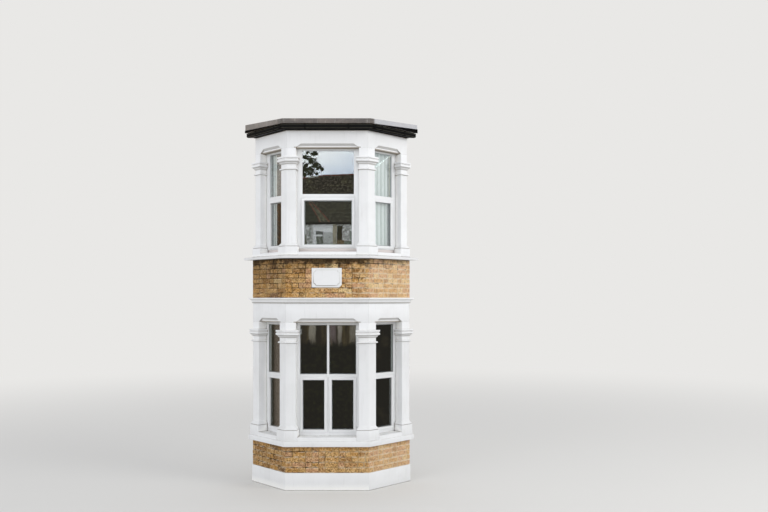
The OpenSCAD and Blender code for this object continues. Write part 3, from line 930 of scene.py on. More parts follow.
@dataclass(frozen=True)
class SpacerBar(Finish):
    """Mill-finish aluminium spacer of a sealed unit, roll formed."""

    name: str = "aluminium_spacer_rolled"
    metal: str = "#B9BCBE"
    dull: str = "#8E9194"

    def shade(self, put: Nodes) -> Value:
        """Gives the eye a satin grey edge inside the glass."""
        rolled = put("mix", put.grain(4, 2, (1, 1, 20)), self.metal, self.dull)
        return put("surface", rolled, 0.38, {"Metallic": 1.0})


@dataclass(frozen=True)
class Softwood(Finish):
    """Sawn and planed redwood boards and joists."""

    name: str = "redwood_planed"
    pale: str = "#B99266"
    dark: str = "#8A6238"
    along: tuple[float, float, float] = (18, 1, 1)
    sooty: float = 0.0

    def shade(self, put: Nodes) -> Value:
        """Gives the eye warm boards with growth rings about 4 mm apart that run along the piece.

        Args:
            put: the material's nodes.

        Returns:
            The shader.
        """
        rings = put("sway", put.grain(160, 3, self.along) * 60.0)
        fibre = put.grain(5, 3, tuple(3 * s for s in self.along))
        base = put.coats(
            self.pale,
            (put("band", rings, -0.8, 0.9), self.dark),
            (put("band", fibre, 0.4, 0.75, 0, 0.5), self.dark),
            (put("band", put.grain(300, 3), 0.45, 0.75, 0, 0.4), "#6E5034"))
        # Painted shade: faces that look down are darkened nearly to black
        if self.sooty:
            base = put("mix", put("band", put.facing[2], -0.3, -0.8, 0, self.sooty), base, "#191613")
        return put("surface", base, 0.55, 1.5, {"Normal": put("bump", fibre, 0.5 * MM)})


@dataclass(frozen=True)
class PaintedPlaster(Finish):
    """Matt emulsion rolled on plasterboard."""

    name: str = "emulsion_on_plasterboard"
    white: str = "#E2DFD7"

    def shade(self, put: Nodes) -> Value:
        """Gives the eye flat warm white with roller stipple and slight shadows of the joints.

        Args:
            put: the material's nodes.

        Returns:
            The shader.
        """
        base = put.coats(
            self.white,
            (put("band", put.grain(500, 3), 0.45, 0.7, 0, 0.12), "#BDB9AE"),
            (put.cut(), "#BFB4A2"))
        return put("surface", base, 0.85, 1.45, {"Normal": put("bump", put.grain(8, 3), 0.3 * MM)})


@dataclass(frozen=True)
class LinedCotton(Finish):
    """Plain woven cotton curtain with a lining, sage grey."""

    name: str = "cotton_plain_woven"
    cloth: str = "#DADFE1"
    in_the_fold: str = "#7F8886"

    def shade(self, put: Nodes) -> Value:
        """Gives the eye soft slubs along both threads, 3 mm apart and not the real 0.6 mm, so that they show,
        and painted shade deep in the folds.

        Args:
            put: the material's nodes.

        Returns:
            The shader.
        """
        weft = put("waves", put.coords, WAVE / (2.992 * MM), 1.2, {"Detail": 2.0})
        slub = put.grain(5, 3, (1, 1, 12))
        depth = put("ShaderNodeAttribute", out="Fac", attribute_name="fold")
        base = put.coats(
            self.cloth,
            (put("band", slub, 0.35, 0.7, 0, 0.22), self.in_the_fold),
            (weft * 0.08, self.in_the_fold),
            # Painted shade in the depth of the folds
            (put("band", depth, 0.40, 0.95, 0, 0.92), self.in_the_fold))
        return put("surface", base, 0.88, 1.45, {"Sheen Weight": 0.2, "Sheen Roughness": 0.5,
                                                 "Normal": put("bump", slub, 0.6 * MM)})


@dataclass(frozen=True)
class BlackGloss(Finish):
    """Black gloss paint, brushed on a softwood fascia."""

    name: str = "gloss_paint_brushed_black"
    black: str = "#090807"
    chalk: str = "#110F0D"

    def shade(self, put: Nodes) -> Value:
        """Gives the eye a dark board with brush lines and dulled, chalky patches.

        Args:
            put: the material's nodes.

        Returns:
            The shader.
        """
        chalky = put("band", put.grain(200, 4), 0.5, 0.75, 0, 0.3)
        lines = put("bump", put.grain(3, 2, (30, 30, 1)), 0.3 * MM)
        return put("surface", put("mix", chalky, self.black, self.chalk), 0.5, 1.5,
                   {"Specular IOR Level": 0.02, "Normal": lines})


@dataclass(frozen=True)
class GutterPlastic(Finish):
    """Black PVC rainwater goods, extruded and moulded."""

    name: str = "pvc_moulded_black"
    black: str = "#0A0909"
    rain_mark: str = "#131210"
    moss_dust: str = "#4A4B40"

    def shade(self, put: Nodes) -> Value:
        """Gives the eye a satin black with dried rain marks and a little moss dust on top.

        Args:
            put: the material's nodes.

        Returns:
            The shader.
        """
        base = put.coats(
            self.black,
            (put("band", put.grain(40, 4, (1, 1, 6)), 0.5, 0.72, 0, 0.30), self.rain_mark),
            (put("band", put.facing[2], 0.6, 1.0, 0, 0.35), self.moss_dust))
        wavy = put("bump", put.grain(300, 2), 0.8 * MM)
        return put("surface", base, 0.30, 1.53, {"Specular IOR Level": 0.03, "Normal": wavy})


@dataclass(frozen=True)
class MilledLead(Finish):
    """Milled lead sheet, dressed by hand and weathered grey."""

    name: str = "lead_milled_weathered"
    patina: str = "#726963"
    dark: str = "#5A5551"
    pale: str = "#B7B5B3"

    def shade(self, put: Nodes) -> Value:
        """Gives the eye a dull grey metal with pale bloom, dark runs and soft dents from the dresser.

        Args:
            put: the material's nodes.

        Returns:
            The shader.
        """
        x, up = put.place[0], put.facing[2]
        bloom = put.grain(170, 5)
        runs = put("mix", put("band", up, 0.3, 0.6), put.grain(26, 4, (1, 1, 9)), put.grain(60, 4, (1, 9, 1)))
        base = put.coats(
            self.dark,
            (put("band", bloom, 0.40, 0.66), self.patina),
            (put("band", runs, 0.56, 0.74, 0, 0.5), self.pale),
            # The edge is palest at the right, from its corner on, and greyer at the left
            (put("band", x, 0.79, 0.82, 0, 0.62), "#D6D7DB"),
            (put("band", x, -0.7, -1.0, 0, 0.36), "#A8A39D"),
            (put("band", up, 0.3, 0.9, 0, 0.45), "#A3A19E"))
        dents = put("bump", put.grain(55, 2), 2.4 * MM)
        return put("surface", base, 0.55, {"Metallic": 0.35, "Normal": put("bump", bloom, 1.2 * MM, dents)})


@dataclass(frozen=True)
class Silicone(Finish):
    """White silicone sealant, gunned and tooled."""

    name: str = "silicone_tooled_white"
    white: str = "#DADAD6"
    dust: str = "#A7A49A"

    def shade(self, put: Nodes) -> Value:
        """Gives the eye a soft bead that has caught a little dust."""
        dusty = put("band", put.grain(45, 3), 0.45, 0.7, 0, 0.4)
        return put("surface", put("mix", dusty, self.white, self.dust), 0.5, 1.41)


BRICK_SHADES = [
    StockBrick("stock_brick_buff", "#C49B61"), StockBrick("stock_brick_ochre", "#C09151"),
    StockBrick("stock_brick_tan", "#B68A58"), StockBrick("stock_brick_pink", "#C2956D", "#66442F"),
    StockBrick("stock_brick_pale", "#D6B985"), StockBrick("stock_brick_brown", "#9E7340", "#4A3420"),
    StockBrick("stock_brick_overburnt", "#7F5E40", "#33271E"),
]
SAWN = Softwood("redwood_sawn", "#B0895A", "#85603A", (1, 18, 1))


@dataclass
class BrickPanels:
    """Brick faces laid in an irregular Flemish bond on the beds of the CAD walls."""

    joint: float = 0.010
    bed: float = 9 * MM
    stretcher: float = 0.215
    header: float = 0.1025
    proud: float = 0.0026
    sunk: float = 4 * MM
    unbonded: float = 0.16
    shortest: float = 0.055
    uneven: float = 5 * MM
    warp: float = 1.2 * MM
    ragged: float = 0.9 * MM
    sound: float = 0.8
    worn: tuple[float, float] = (0.0025, 0.006)
    spalled: tuple[float, float] = (0.007, 0.010)
    # Each step of a worn edge, in shares of its wear: how far behind the front, and how far in from the side
    arris: tuple[tuple[float, float], ...] = ((0.8, 0.0), (0.25, 0.45), (0.0, 1.0))
    column_w: float = 0.036
    # How far behind the plaque's edge a brick that is left out lies, and by its broken corner
    hidden: float = 5 * MM
    broken: float = 0.045
    chance: random.Random = field(default_factory=lambda: random.Random(152))
    weights: dict[Side, tuple[int, ...]] = field(default_factory=lambda: {
        Side.LEFT: (22, 24, 24, 6, 3, 18, 3), Side.FRONT: (28, 24, 22, 10, 6, 8, 2),
        Side.RIGHT: (28, 14, 14, 24, 16, 3, 1)})

    def lengths(self, total: float, shifted: bool) -> list[float]:
        """Brick lengths of one course, headers between stretchers, with cut closers at the ends.

        Args:
            total: length of the course.
            shifted: starts with a header, so that joints break over the course below.

        Returns:
            Lengths that add up to the course.
        """
        sizes, spent, header = [], 0.0, shifted
        while spent < total - MM:
            length = (self.header if header else self.stretcher) + self.joint
            if self.chance.random() < self.unbonded:
                length = (self.stretcher if header else self.header) + self.joint
            length += self.chance.uniform(-self.uneven, self.uneven)
            if total - spent - length < self.shortest:
                length = total - spent
            sizes.append(length)
            spent += length
            header = not header
        return sizes

    def brick(self, shape: Shape, face: Face, x: tuple[float, float], z: tuple[float, float],
              slot: int) -> None:
        """One brick's weathered front, a little out of true, set in the mortar.

        Args:
            shape: collects the bricks.
            face: the face it lies on.
            x: its ends.
            z: its foot and top.
            slot: its shade.
        """
        jitter, out, warp, ragged, close = self.chance.uniform, GROUND_OUT, self.warp, self.ragged, 0.1 * MM
        ends = (max(x[0], face.near(out)), min(x[1], face.far(out)))
        tilt = (jitter(-warp, warp), jitter(-warp, warp))
        front = out + self.proud + jitter(-warp, warp)
        worn = jitter(*self.worn) if self.chance.random() < self.sound else jitter(*self.spalled)
        columns = max(2, round((ends[1] - ends[0]) / self.column_w))
        across = [i / columns for i in range(columns + 1)]
        rings = []
        steps = [(out - self.sunk, 0.0)] + [(front - worn * back, worn * side) for back, side in self.arris]
        for depth, inset in steps:
            a, b, lo, hi = ends[0] + inset, ends[1] - inset, z[0] + inset, z[1] - inset
            if x[0] < face.near(out) + close:
                a = face.near(depth)
            if x[1] > face.far(out) - close:
                b = face.far(depth)
            wide, tall = b - a, hi - lo
            ring = [(a + wide * t, lo, depth + tilt[0] * (t - 0.5)) for t in across]
            ring += [(b, lo + tall * t, depth + tilt[0] * 0.5 + tilt[1] * (t - 0.5)) for t in (0.33, 0.67)]
            ring += [(a + wide * t, hi, depth + tilt[0] * (t - 0.5) + tilt[1] * 0.5) for t in across[::-1]]
            ring += [(a, lo + tall * t, depth - tilt[0] * 0.5 + tilt[1] * (t - 0.5)) for t in (0.67, 0.33)]
            rings.append([face.point(px + (jitter(-ragged, ragged) if inset else 0), po,
                                     pz + (jitter(-ragged, ragged) if inset else 0)) for px, pz, po in ring])
        shape.loft(rings, slot)

    def build(self) -> None:
        """Lays all six panels and dresses the CAD walls behind them as mortar."""
        for storey in Storey:
            for side, face in FACES.items():
                node = f"{storey}_wall_{side.word}"
                low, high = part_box(node)
                rows = rows_of(high[2] - low[2])
                rise = (high[2] - low[2]) / rows
                shape = Shape()
                for row in range(rows):
                    self.course(shape, storey, face, low[2] + row * rise, rise, bool(row % 2))
                shape.piece(f"{storey}_bricks_{side.word}", BRICK_SHADES, "stock_brick")
                dress(node, BrickBed())

    def course(self, shape: Shape, storey: Storey, face: Face, foot: float, rise: float,
               shifted: bool) -> None:
        """Lays one course of bricks.

        Args:
            shape: collects the bricks.
            storey: the storey it is in.
            face: the face it lies on.
            foot: height of its bed.
            rise: height of the course with its joint.
            shifted: starts with a header.
        """
        x, end = face.near(GROUND_OUT), face.far(GROUND_OUT)
        z0 = foot + self.bed / 2
        for length in self.lengths(end - x, shifted):
            first, last = x < face.near(GROUND_OUT) + MM, x + length > end - MM
            ends = (x if first else x + self.joint / 2, x + length if last else x + length - self.joint / 2)
            z = (z0 + self.chance.uniform(-MM, MM), z0 + rise - self.bed)
            shade = self.chance.choices(range(len(BRICK_SHADES)), self.weights[face.side])[0]
            if not self.behind_plaque(storey, face.side, ends, z):
                self.brick(shape, face, ends, z, shade)
            x += length

    def behind_plaque(self, storey: Storey, side: Side, x: tuple[float, float],
                      z: tuple[float, float]) -> bool:
        """True for a brick that the plaque hides whole.

        Args:
            storey: the brick's storey.
            side: the face it is in.
            x: its ends across that face.
            z: its foot and top.

        Returns:
            Whether it can be left out.
        """
        low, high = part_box("plaque")
        return (storey is Storey.UPPER and side is Side.FRONT
                and x[0] > low[0] + self.hidden and x[1] < high[0] - self.broken
                and z[0] > low[2] + self.broken and z[1] < high[2] - self.hidden)


def dress(node: str, finish: Finish) -> None:
    """Gives a CAD node's material slots a finish.

    Args:
        node: the CAD node.
        finish: the finish.
    """
    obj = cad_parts[node]
    if not obj.material_slots:
        obj.data.materials.append(finish.material())
    for material_slot in obj.material_slots:
        material_slot.material = finish.material()
    log.info("%s: %s", node, finish.name)


@dataclass
class Dressings:
    """Painted stone members, with the rounded arrises that many coats of paint give."""

    paint: MasonryPaint = MasonryPaint()
    arris: float = 0.0028

    def build(self) -> None:
        """Makes a softened copy of each stone member."""
        names = ["plinth", "ground_sill", "ground_cornice", "upper_sill"]
        for storey in Storey:
            for side in ("left", "right"):
                names += [f"{storey}_pier_{side}_{end}" for end in ("end", "corner")]
            names += [f"{storey}_lintel_{side.word}" for side in Side]
        for node in names:
            softened(node, f"{node}_painted", self.paint, "painted_stone", self.arris)
        softened("plaque", "plaque_painted", PlaquePaint(), "painted_stone", self.arris)


@dataclass
class Windows:
    """Plastic frames and sashes with their gaskets, sealed units, sealant, drain caps and handles."""

    plastic: WindowPlastic = WindowPlastic()
    sheet: float = 4 * MM
    spacer_in: float = 3 * MM
    spacer_w: float = 9 * MM
    gasket_w: float = 4 * MM
    gasket_t: float = 2.5 * MM
    bead: float = 4.2 * MM
    stile_in: float = 0.026
    drains: tuple[float, float] = (0.22, 0.78)
    drain_z: dict[Storey, float] = field(default_factory=lambda: {
        Storey.GROUND: 0.028, Storey.UPPER: CILL_H + 0.009})
    cap_w: float = 0.034
    cap_h: float = 0.010
    cap_t: float = 4 * MM
    # Each part of a handle: half its width, how far it starts and ends behind the sash, and its foot and top
    handle: tuple[tuple[float, ...], ...] = (
        (0.014, 0.011, -0.001, -0.045, 0.045), (0.009, 0.034, 0.010, 0.010, 0.034),
        (0.010, 0.042, 0.030, -0.088, 0.034))

    def build(self) -> None:
        """Makes every window piece of both storeys."""
        for storey in Storey:
            for side in Side:
                node = f"{storey}_frame_{side.word}"
                softened(node, f"{node}_profile", self.plastic, "white_plastic", 0.0022)
            softened(f"{storey}_sashes", f"{storey}_sash_profiles", self.plastic, "white_plastic", 0.0028)
            self.units(storey)
            self.hardware(storey)
            self.sealant(storey)

    def units(self, storey: Storey) -> None:
        """Sealed units in place of the solid panes: two sheets, a spacer and gaskets on both sides.

        Args:
            storey: the storey.
        """
        sheets, spacer, gasket, play = Shape(), Shape(), Shape(), 0.2 * MM
        for face, lo, hi in islands(f"{storey}_glass"):
            x, z, out = (lo.x, hi.x), (lo.z, hi.z), (lo.y, hi.y)
            for a in (out[0], out[1] - self.sheet):
                sheets.slab(face, x, (a, a + self.sheet), z)
            gap = (out[0] + self.sheet + play, out[1] - self.sheet - play)
            self.ring(spacer, face, x, z, self.spacer_in, self.spacer_w, gap)
            for near, far in ((out[1] + play, out[1] + self.gasket_t),
                              (out[0] - self.gasket_t, out[0] - play)):
                self.ring(gasket, face, x, z, -MM, self.gasket_w, (near, far))
        panes = sheets.piece(f"{storey}_sealed_glass", [SealedGlass()], "window_glass",
                             replaces=[f"{storey}_glass"])
        panes.visible_shadow = panes.visible_diffuse = False
        spacer.piece(f"{storey}_glass_spacers", [SpacerBar()], "window_glass")
        gasket.piece(f"{storey}_gaskets", [Rubber()], "black_gutter")

    def ring(self, shape: Shape, face: Face, x: tuple[float, float], z: tuple[float, float], start: float,
             wide: float, out: tuple[float, float]) -> None:
        """Four strips round a pane.

        Args:
            shape: collects the strips.
            face: the face they lie on.
            x: the pane's ends.
            z: the pane's foot and top.
            start: distance from the pane's edge to the strips.
            wide: how wide they are.
            out: how far out they lie.
        """
        x0, x1, z0, z1 = x[0] + start, x[1] - start, z[0] + start, z[1] - start
        for xs, zs in (((x0, x1), (z0, z0 + wide)), ((x0, x1), (z1 - wide, z1)),
                       ((x0, x0 + wide), (z0 + wide, z1 - wide)), ((x1 - wide, x1), (z0 + wide, z1 - wide))):
            shape.slab(face, xs, out, zs)

    def hardware(self, storey: Storey) -> None:
        """Drain caps outside, and a handle inside each lower light.

        Args:
            storey: the storey.
        """
        caps, handles = Shape(), Shape()
        for face, lo, hi in islands(f"{storey}_sashes"):
            stile, middle = lo.x + self.stile_in, (lo.z + hi.z) / 2
            for half, start, end, foot, top in self.handle:
                handles.slab(face, (stile - half, stile + half), (lo.y - start, lo.y - end),
                             (middle + foot, middle + top))
        for side, face in FACES.items():
            low, high = extent_on(face, f"{storey}_frame_{side.word}")
            middle, half = low.z + self.drain_z[storey], self.cap_w / 2
            for share in self.drains:
                x = low.x + (high.x - low.x) * share
                caps.slab(face, (x - half, x + half), (FRAME_OUT - 2 * MM, FRAME_OUT + self.cap_t),
                          (middle - self.cap_h / 2, middle + self.cap_h / 2))
        handles.piece(f"{storey}_sash_handles", [self.plastic], "white_plastic", 0.004, steps=3)
        caps.piece(f"{storey}_drain_caps", [self.plastic], "white_plastic", 0.0015)

    def sealant(self, storey: Storey) -> None:
        """Beads gunned between the frames and the painted reveals and lintels.

        Args:
            storey: the storey.
        """
        beads = Shape()
        for side, face in FACES.items():
            low, high = extent_on(face, f"{storey}_frame_{side.word}")
            end = face.length / 2 - PIER_W
            foot, head = low.z + (CILL_H if storey is Storey.UPPER else 0.0), high.z
            corners = [face.point(x, FRAME_OUT, z)
                       for x, z in ((-end, foot), (-end, head), (end, head), (end, foot))]
            for a, b in ((0, 1), (3, 2), (1, 2)):
                beads.rod(corners[a], corners[b], self.bead, sides=8)
        beads.piece(f"{storey}_sealant_beads", [Silicone()], "white_plastic")


@dataclass
class Rooms:
    """Boarded floors, ceilings, window boards and skirtings, seen from behind and through the glass."""

    board_w: float = 0.118
    board_t: float = 0.022
    gap: float = 1.6 * MM
    play: float = 0.6 * MM
    butt_x: float = 0.35
    joist_w: float = 0.050
    joists_x: tuple[float, ...] = (-0.4, 0.0, 0.4)
    moulding: tuple[tuple[float, float], ...] = (
        (0, 0), (-0.018, 0), (-0.018, 0.085), (-0.013, 0.098), (-0.013, 0.108), (-0.006, 0.120), (0, 0.120))
    chance: random.Random = field(default_factory=lambda: random.Random(7))

    def build(self) -> None:
        """Makes the floors and dresses the ceilings and boards."""
        for storey in Storey:
            self.floor(f"{storey}_floor")
            dress(f"{storey}_ceiling", PaintedPlaster())
            self.skirting(storey)
        softened("window_boards", "window_boards_gloss", WindowPlastic("pvc_foam_board_white", "#E6E6E2"),
                 "white_plastic", 0.006, 3)

    def half_width(self, y: float) -> float:
        """Half the room's width at a distance y, inside the walls."""
        return FRONT_W / 2 + (y - FRONT_Y) - WALL_T * math.sqrt(2)

    def floor(self, node: str) -> None:
        """Boards over joists in place of a plain floor.

        Args:
            node: the CAD floor.
        """
        low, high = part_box(node)
        top, start = high[2], FRONT_Y + WALL_T
        boards, joists = Shape(), Shape()
        y = start
        while y < WALL_Y - 0.01:
            end = min(y + self.board_w, WALL_Y)
            near, far = y, end - self.gap
            cut = self.chance.uniform(-self.butt_x, self.butt_x)
            for side in (-1, 1):
                inner, drop = cut + side * self.play, self.chance.uniform(0, self.play)
                outline = ((inner, near), (side * self.half_width(near), near),
                           (side * self.half_width(far), far), (inner, far))
                boards.loft([[Vector((*p, z)) for p in outline] for z in (top - self.board_t, top - drop)])
            y = end
        half = self.joist_w / 2
        for x in self.joists_x:
            outline = ((x - half, start), (x + half, start), (x + half, WALL_Y), (x - half, WALL_Y))
            joists.loft([[Vector((*p, z)) for p in outline] for z in (low[2], top - self.board_t)])
        boards.piece(f"{node}_boards", [Softwood()], "timber", 0.0012, [node], 1)
        joists.piece(f"{node}_joists", [SAWN], "timber", 0.002, [node], 1)

    def skirting(self, storey: Storey) -> None:
        """A moulded skirting round the foot of the walls.

        Args:
            storey: the storey of the room.
        """
        shape = Shape()
        shape.run(round_the_bay(-WALL_T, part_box(f"{storey}_floor")[1][2]), self.moulding)
        gloss = WindowPlastic("gloss_paint_on_softwood", "#E3E1DA")
        shape.piece(f"{storey}_skirting", [gloss], "white_plastic", 0.0015, steps=1)


@dataclass
class Curtains:
    """Lined cotton curtains, gathered on a track in the recess of each upper side window."""

    pitch: float = 0.088
    rows: int = 44
    per_pleat: int = 14
    measured_row: int = 20
    cloth_t: float = 1.6 * MM
    # How far pleats drift out of step, how deep they may be, how deep at the heading, and how far they lean
    drift: float = 0.7
    depths: tuple[float, ...] = (0.45, 0.7, 0.9, 1.0)
    heading: float = 0.7
    lean: float = 5 * MM
    chance: random.Random = field(default_factory=lambda: random.Random(31))

    def build(self) -> None:
        """Hangs both curtains and dresses the track."""
        dress("curtain_track", WindowPlastic())
        for side in (Side.LEFT, Side.RIGHT):
            self.hang(side)

    def hang(self, side: Side) -> None:
        """One curtain as one pleated sheet, tight at the heading and looser at the hem.

        Args:
            side: the face behind which it hangs.
        """
        node, face = f"curtain_{side.word}", FACES[side]
        (x0, out0, z0), (x1, out1, z1) = extent_on(face, node)
        middle, reach = (out0 + out1) / 2, (out1 - out0) / 2 - 2 * MM
        pleats = max(2, round((x1 - x0) / self.pitch))
        phases = [self.chance.uniform(-self.drift, self.drift) for _ in range(pleats + 1)]
        depths = [self.chance.choice(self.depths) for _ in range(pleats + 1)]
        steps = pleats * self.per_pleat
        bm = bmesh.new()
        sunk = bm.verts.layers.float.new("fold")
        grid = []
        for row in range(self.rows + 1):
            t = row / self.rows
            z = z1 + (z0 - z1) * t
            line = []
            for i in range(steps + 1):
                u = i / self.per_pleat
                k = min(int(u), pleats - 1)
                f = u - k
                depth = depths[k] * (1 - f) + depths[k + 1] * f
                phase = (phases[k] * (1 - f) + phases[k + 1] * f) * (0.4 + 0.6 * t)
                amp = reach * (self.heading + (1 - self.heading) * min(t * 4, 1)) * depth
                wave = math.sin(2 * math.pi * u + phase)
                swing = amp * math.copysign(abs(wave) ** 0.8, wave)
                lean = self.lean * math.sin(2 * math.pi * u * 2 + 1.3) * t * min(1, (steps - i) / 4, i / 4)
                vert = bm.verts.new(face.point(x0 + (x1 - x0) * i / steps + lean, middle + swing, z))
                vert[sunk] = 0.5 - 0.5 * swing / reach
                line.append(vert)
            grid.append(line)
        for a, b in zip(grid, grid[1:]):
            for i in range(steps):
                bm.faces.new((a[i], a[i + 1], b[i + 1], b[i]))
        line = grid[self.measured_row]
        mesh = bpy.data.meshes.new(f"{node}_cloth")
        bm.to_mesh(mesh)
        bm.free()
        obj = settle(f"{node}_cloth", mesh, [LinedCotton()], replaces=[node])
        mesh.polygons.foreach_set("use_smooth", [True] * len(mesh.polygons))
        solid = obj.modifiers.new("cloth", "SOLIDIFY")
        solid.thickness, solid.offset = self.cloth_t, 0.0


@dataclass
class RoofEdge:
    """Fascia, gutter with its brackets and unions, and the lead roof with its laps and edge bead."""

    kerb_out: float = 0.122
    lead_t: float = 6 * MM
    edge_h: float = 0.084
    bracket_pitch: float = 0.62
    bracket_w: float = 0.026
    union_w: float = 0.062
    union_in: float = 0.09
    gutter_in: float = 0.020
    gutter_out: float = 0.112
    gutter_r: float = 0.026
    clip: float = 0.010
    # Each lip, coloured lighter as a painted highlight: how far under the rim, how far out, and its radius
    lips: tuple[tuple[float, float, float], ...] = ((0.010, 0.112, 0.0045), (0.060, 0.110, 0.0042))
    seams_x: tuple[float, float] = (-0.36, 0.36)
    lap_w: float = 0.10
    lap_t: float = 2.4 * MM
    # Where the lead's edge is lapped, and how deep the boards over its foot are at the wall
    laps: tuple[tuple[Side, float], ...] = ((Side.LEFT, -0.20), (Side.FRONT, 0.31), (Side.RIGHT, 0.04))
    boards: tuple[tuple[Side, float], ...] = ((Side.LEFT, 0.045), (Side.RIGHT, 0.070))
    welt: tuple[tuple[float, float], ...] = (
        (-0.014, -0.002), (0.014, -0.002), (0.009, 0.006), (0.003, 0.008), (-0.003, 0.008), (-0.009, 0.006))

    def build(self) -> None:
        """Dresses the roof's CAD pieces and adds their fittings."""
        dress("roof_frame", SAWN)
        dress("roof_deck", Softwood("redwood_boards_sooty_below", sooty=0.97))
        softened("fascia", "fascia_board", BlackGloss(), "black_fascia", 0.002)
        softened("gutter", "gutter_channel", GutterPlastic(), "black_gutter", 0.0016)
        softened("lead_roof", "lead_sheets", MilledLead(), "lead_sheet", 0.0025, 3)
        self.gutter_fittings()
        self.lead_details()
        self.tapered_boards()

    def gutter_fittings(self) -> None:
        """Brackets, unions, and the lips along the rim and the gutter's face, coloured lighter as painted
        highlights.
        """
        low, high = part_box("gutter")
        z0, z1 = low[2], high[2]
        fittings = Shape()
        for face in FACES.values():
            start, end = face.near(0.1), face.far(0.1)
            count = max(2, round((end - start) / self.bracket_pitch))
            for i in range(count):
                x = start + (end - start) * (i + 0.5) / count
                self.strap(fittings, face, x, z0, z1, self.bracket_w, 3.5 * MM)
            if face.side is not Side.FRONT:
                self.strap(fittings, face, start + self.union_in, z0, z1, self.union_w, 5 * MM)
        for under, out, r in self.lips:
            lip = [(r * math.cos(t) - 2 * MM, r * math.sin(t)) for t in turns(12)]
            fittings.run(round_the_bay(out, z1 - under), lip, slot=1)
        # The lips are coloured a lighter grey as painted highlights
        dusty = GutterPlastic("pvc_moulded_black_dusty_lip", "#45443C")
        fittings.piece("gutter_fittings", [GutterPlastic(), dusty], "black_gutter", 0.0012, steps=1)

    def strap(self, shape: Shape, face: Face, x: float, z0: float, z1: float, wide: float,
              thick: float) -> None:
        """A band wrapped round the gutter's outer side, with its clip over the rim.

        Args:
            shape: collects the bands.
            face: the face it lies on.
            x: its middle.
            z0: the gutter's foot.
            z1: the gutter's rim.
            wide: width of the band.
            thick: thickness of the band.
        """
        inner, outer, r, clip, play = self.gutter_in, self.gutter_out, self.gutter_r, self.clip, 0.4 * MM
        quarter = [math.pi / 2 * i / 6 for i in range(1, 7)]
        outline = [(inner, z0 - thick), (outer - r, z0 - thick)]
        outline += [(outer - r + (r + thick) * math.sin(t), z0 + r - (r + thick) * math.cos(t))
                    for t in quarter]
        outline += [(outer + thick, z1 + thick), (outer - clip, z1 + thick), (outer - clip, z1 + play),
                    (outer + play, z1 + play)]
        outline += [(outer - r + (r + play) * math.sin(t), z0 + r - (r + play) * math.cos(t))
                    for t in reversed(quarter)]
        outline += [(outer - r, z0 - play), (inner, z0 - play)]
        shape.loft([[face.point(px, out, z) for out, z in outline] for px in (x - wide / 2, x + wide / 2)])

    def lead_details(self) -> None:
        """Welted seams down the slope, lapped joints on the edge and a bead along its foot."""
        low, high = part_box("lead_roof")
        foot, out = low[2], self.kerb_out + self.lead_t
        seams, r = Shape(), 4 * MM
        bead = [(r * math.cos(t) + 2 * MM, r * math.sin(t) + r) for t in turns(10)]
        seams.run(round_the_bay(out, foot), bead)
        edge = foot + self.edge_h
        slope = (high[2] - edge) / (PROJECTION + self.kerb_out)
        y0, y1 = FRONT_Y - self.kerb_out + 0.05, WALL_Y - 2 * MM
        for x in self.seams_x:
            ends = [(y, edge + slope * (y - FRONT_Y + self.kerb_out)) for y in (y0, y1)]
            seams.loft([[Vector((x + d, y, z + h)) for d, h in self.welt] for y, z in ends])
        for side, x in self.laps:
            face = FACES[side]
            seams.slab(face, (x - self.lap_w / 2, x + self.lap_w / 2), (out - MM, out + self.lap_t),
                       (foot + 2 * MM, edge - 6 * MM))
        seams.piece("lead_seams", [MilledLead()], "lead_sheet", 0.0012, steps=2)

    def tapered_boards(self) -> None:
        """A black tapered board over the foot of the lead's edge on each side, deepest at the wall."""
        foot, boards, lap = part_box("lead_roof")[0][2], Shape(), 0.5 * MM
        for side, deep in self.boards:
            face = FACES[side]
            edge = self.kerb_out + self.lead_t
            boards.loft([[face.point(face.near(out), out, foot + lap),
                          face.point(face.far(out), out, foot + lap),
                          face.point(face.far(out), out, foot + deep)]
                         for out in (edge - lap, edge + 6 * MM)])
        boards.piece("tapered_boards", [BlackGloss()], "black_fascia")


Paint = tuple[Value, Value | float, Value | float]


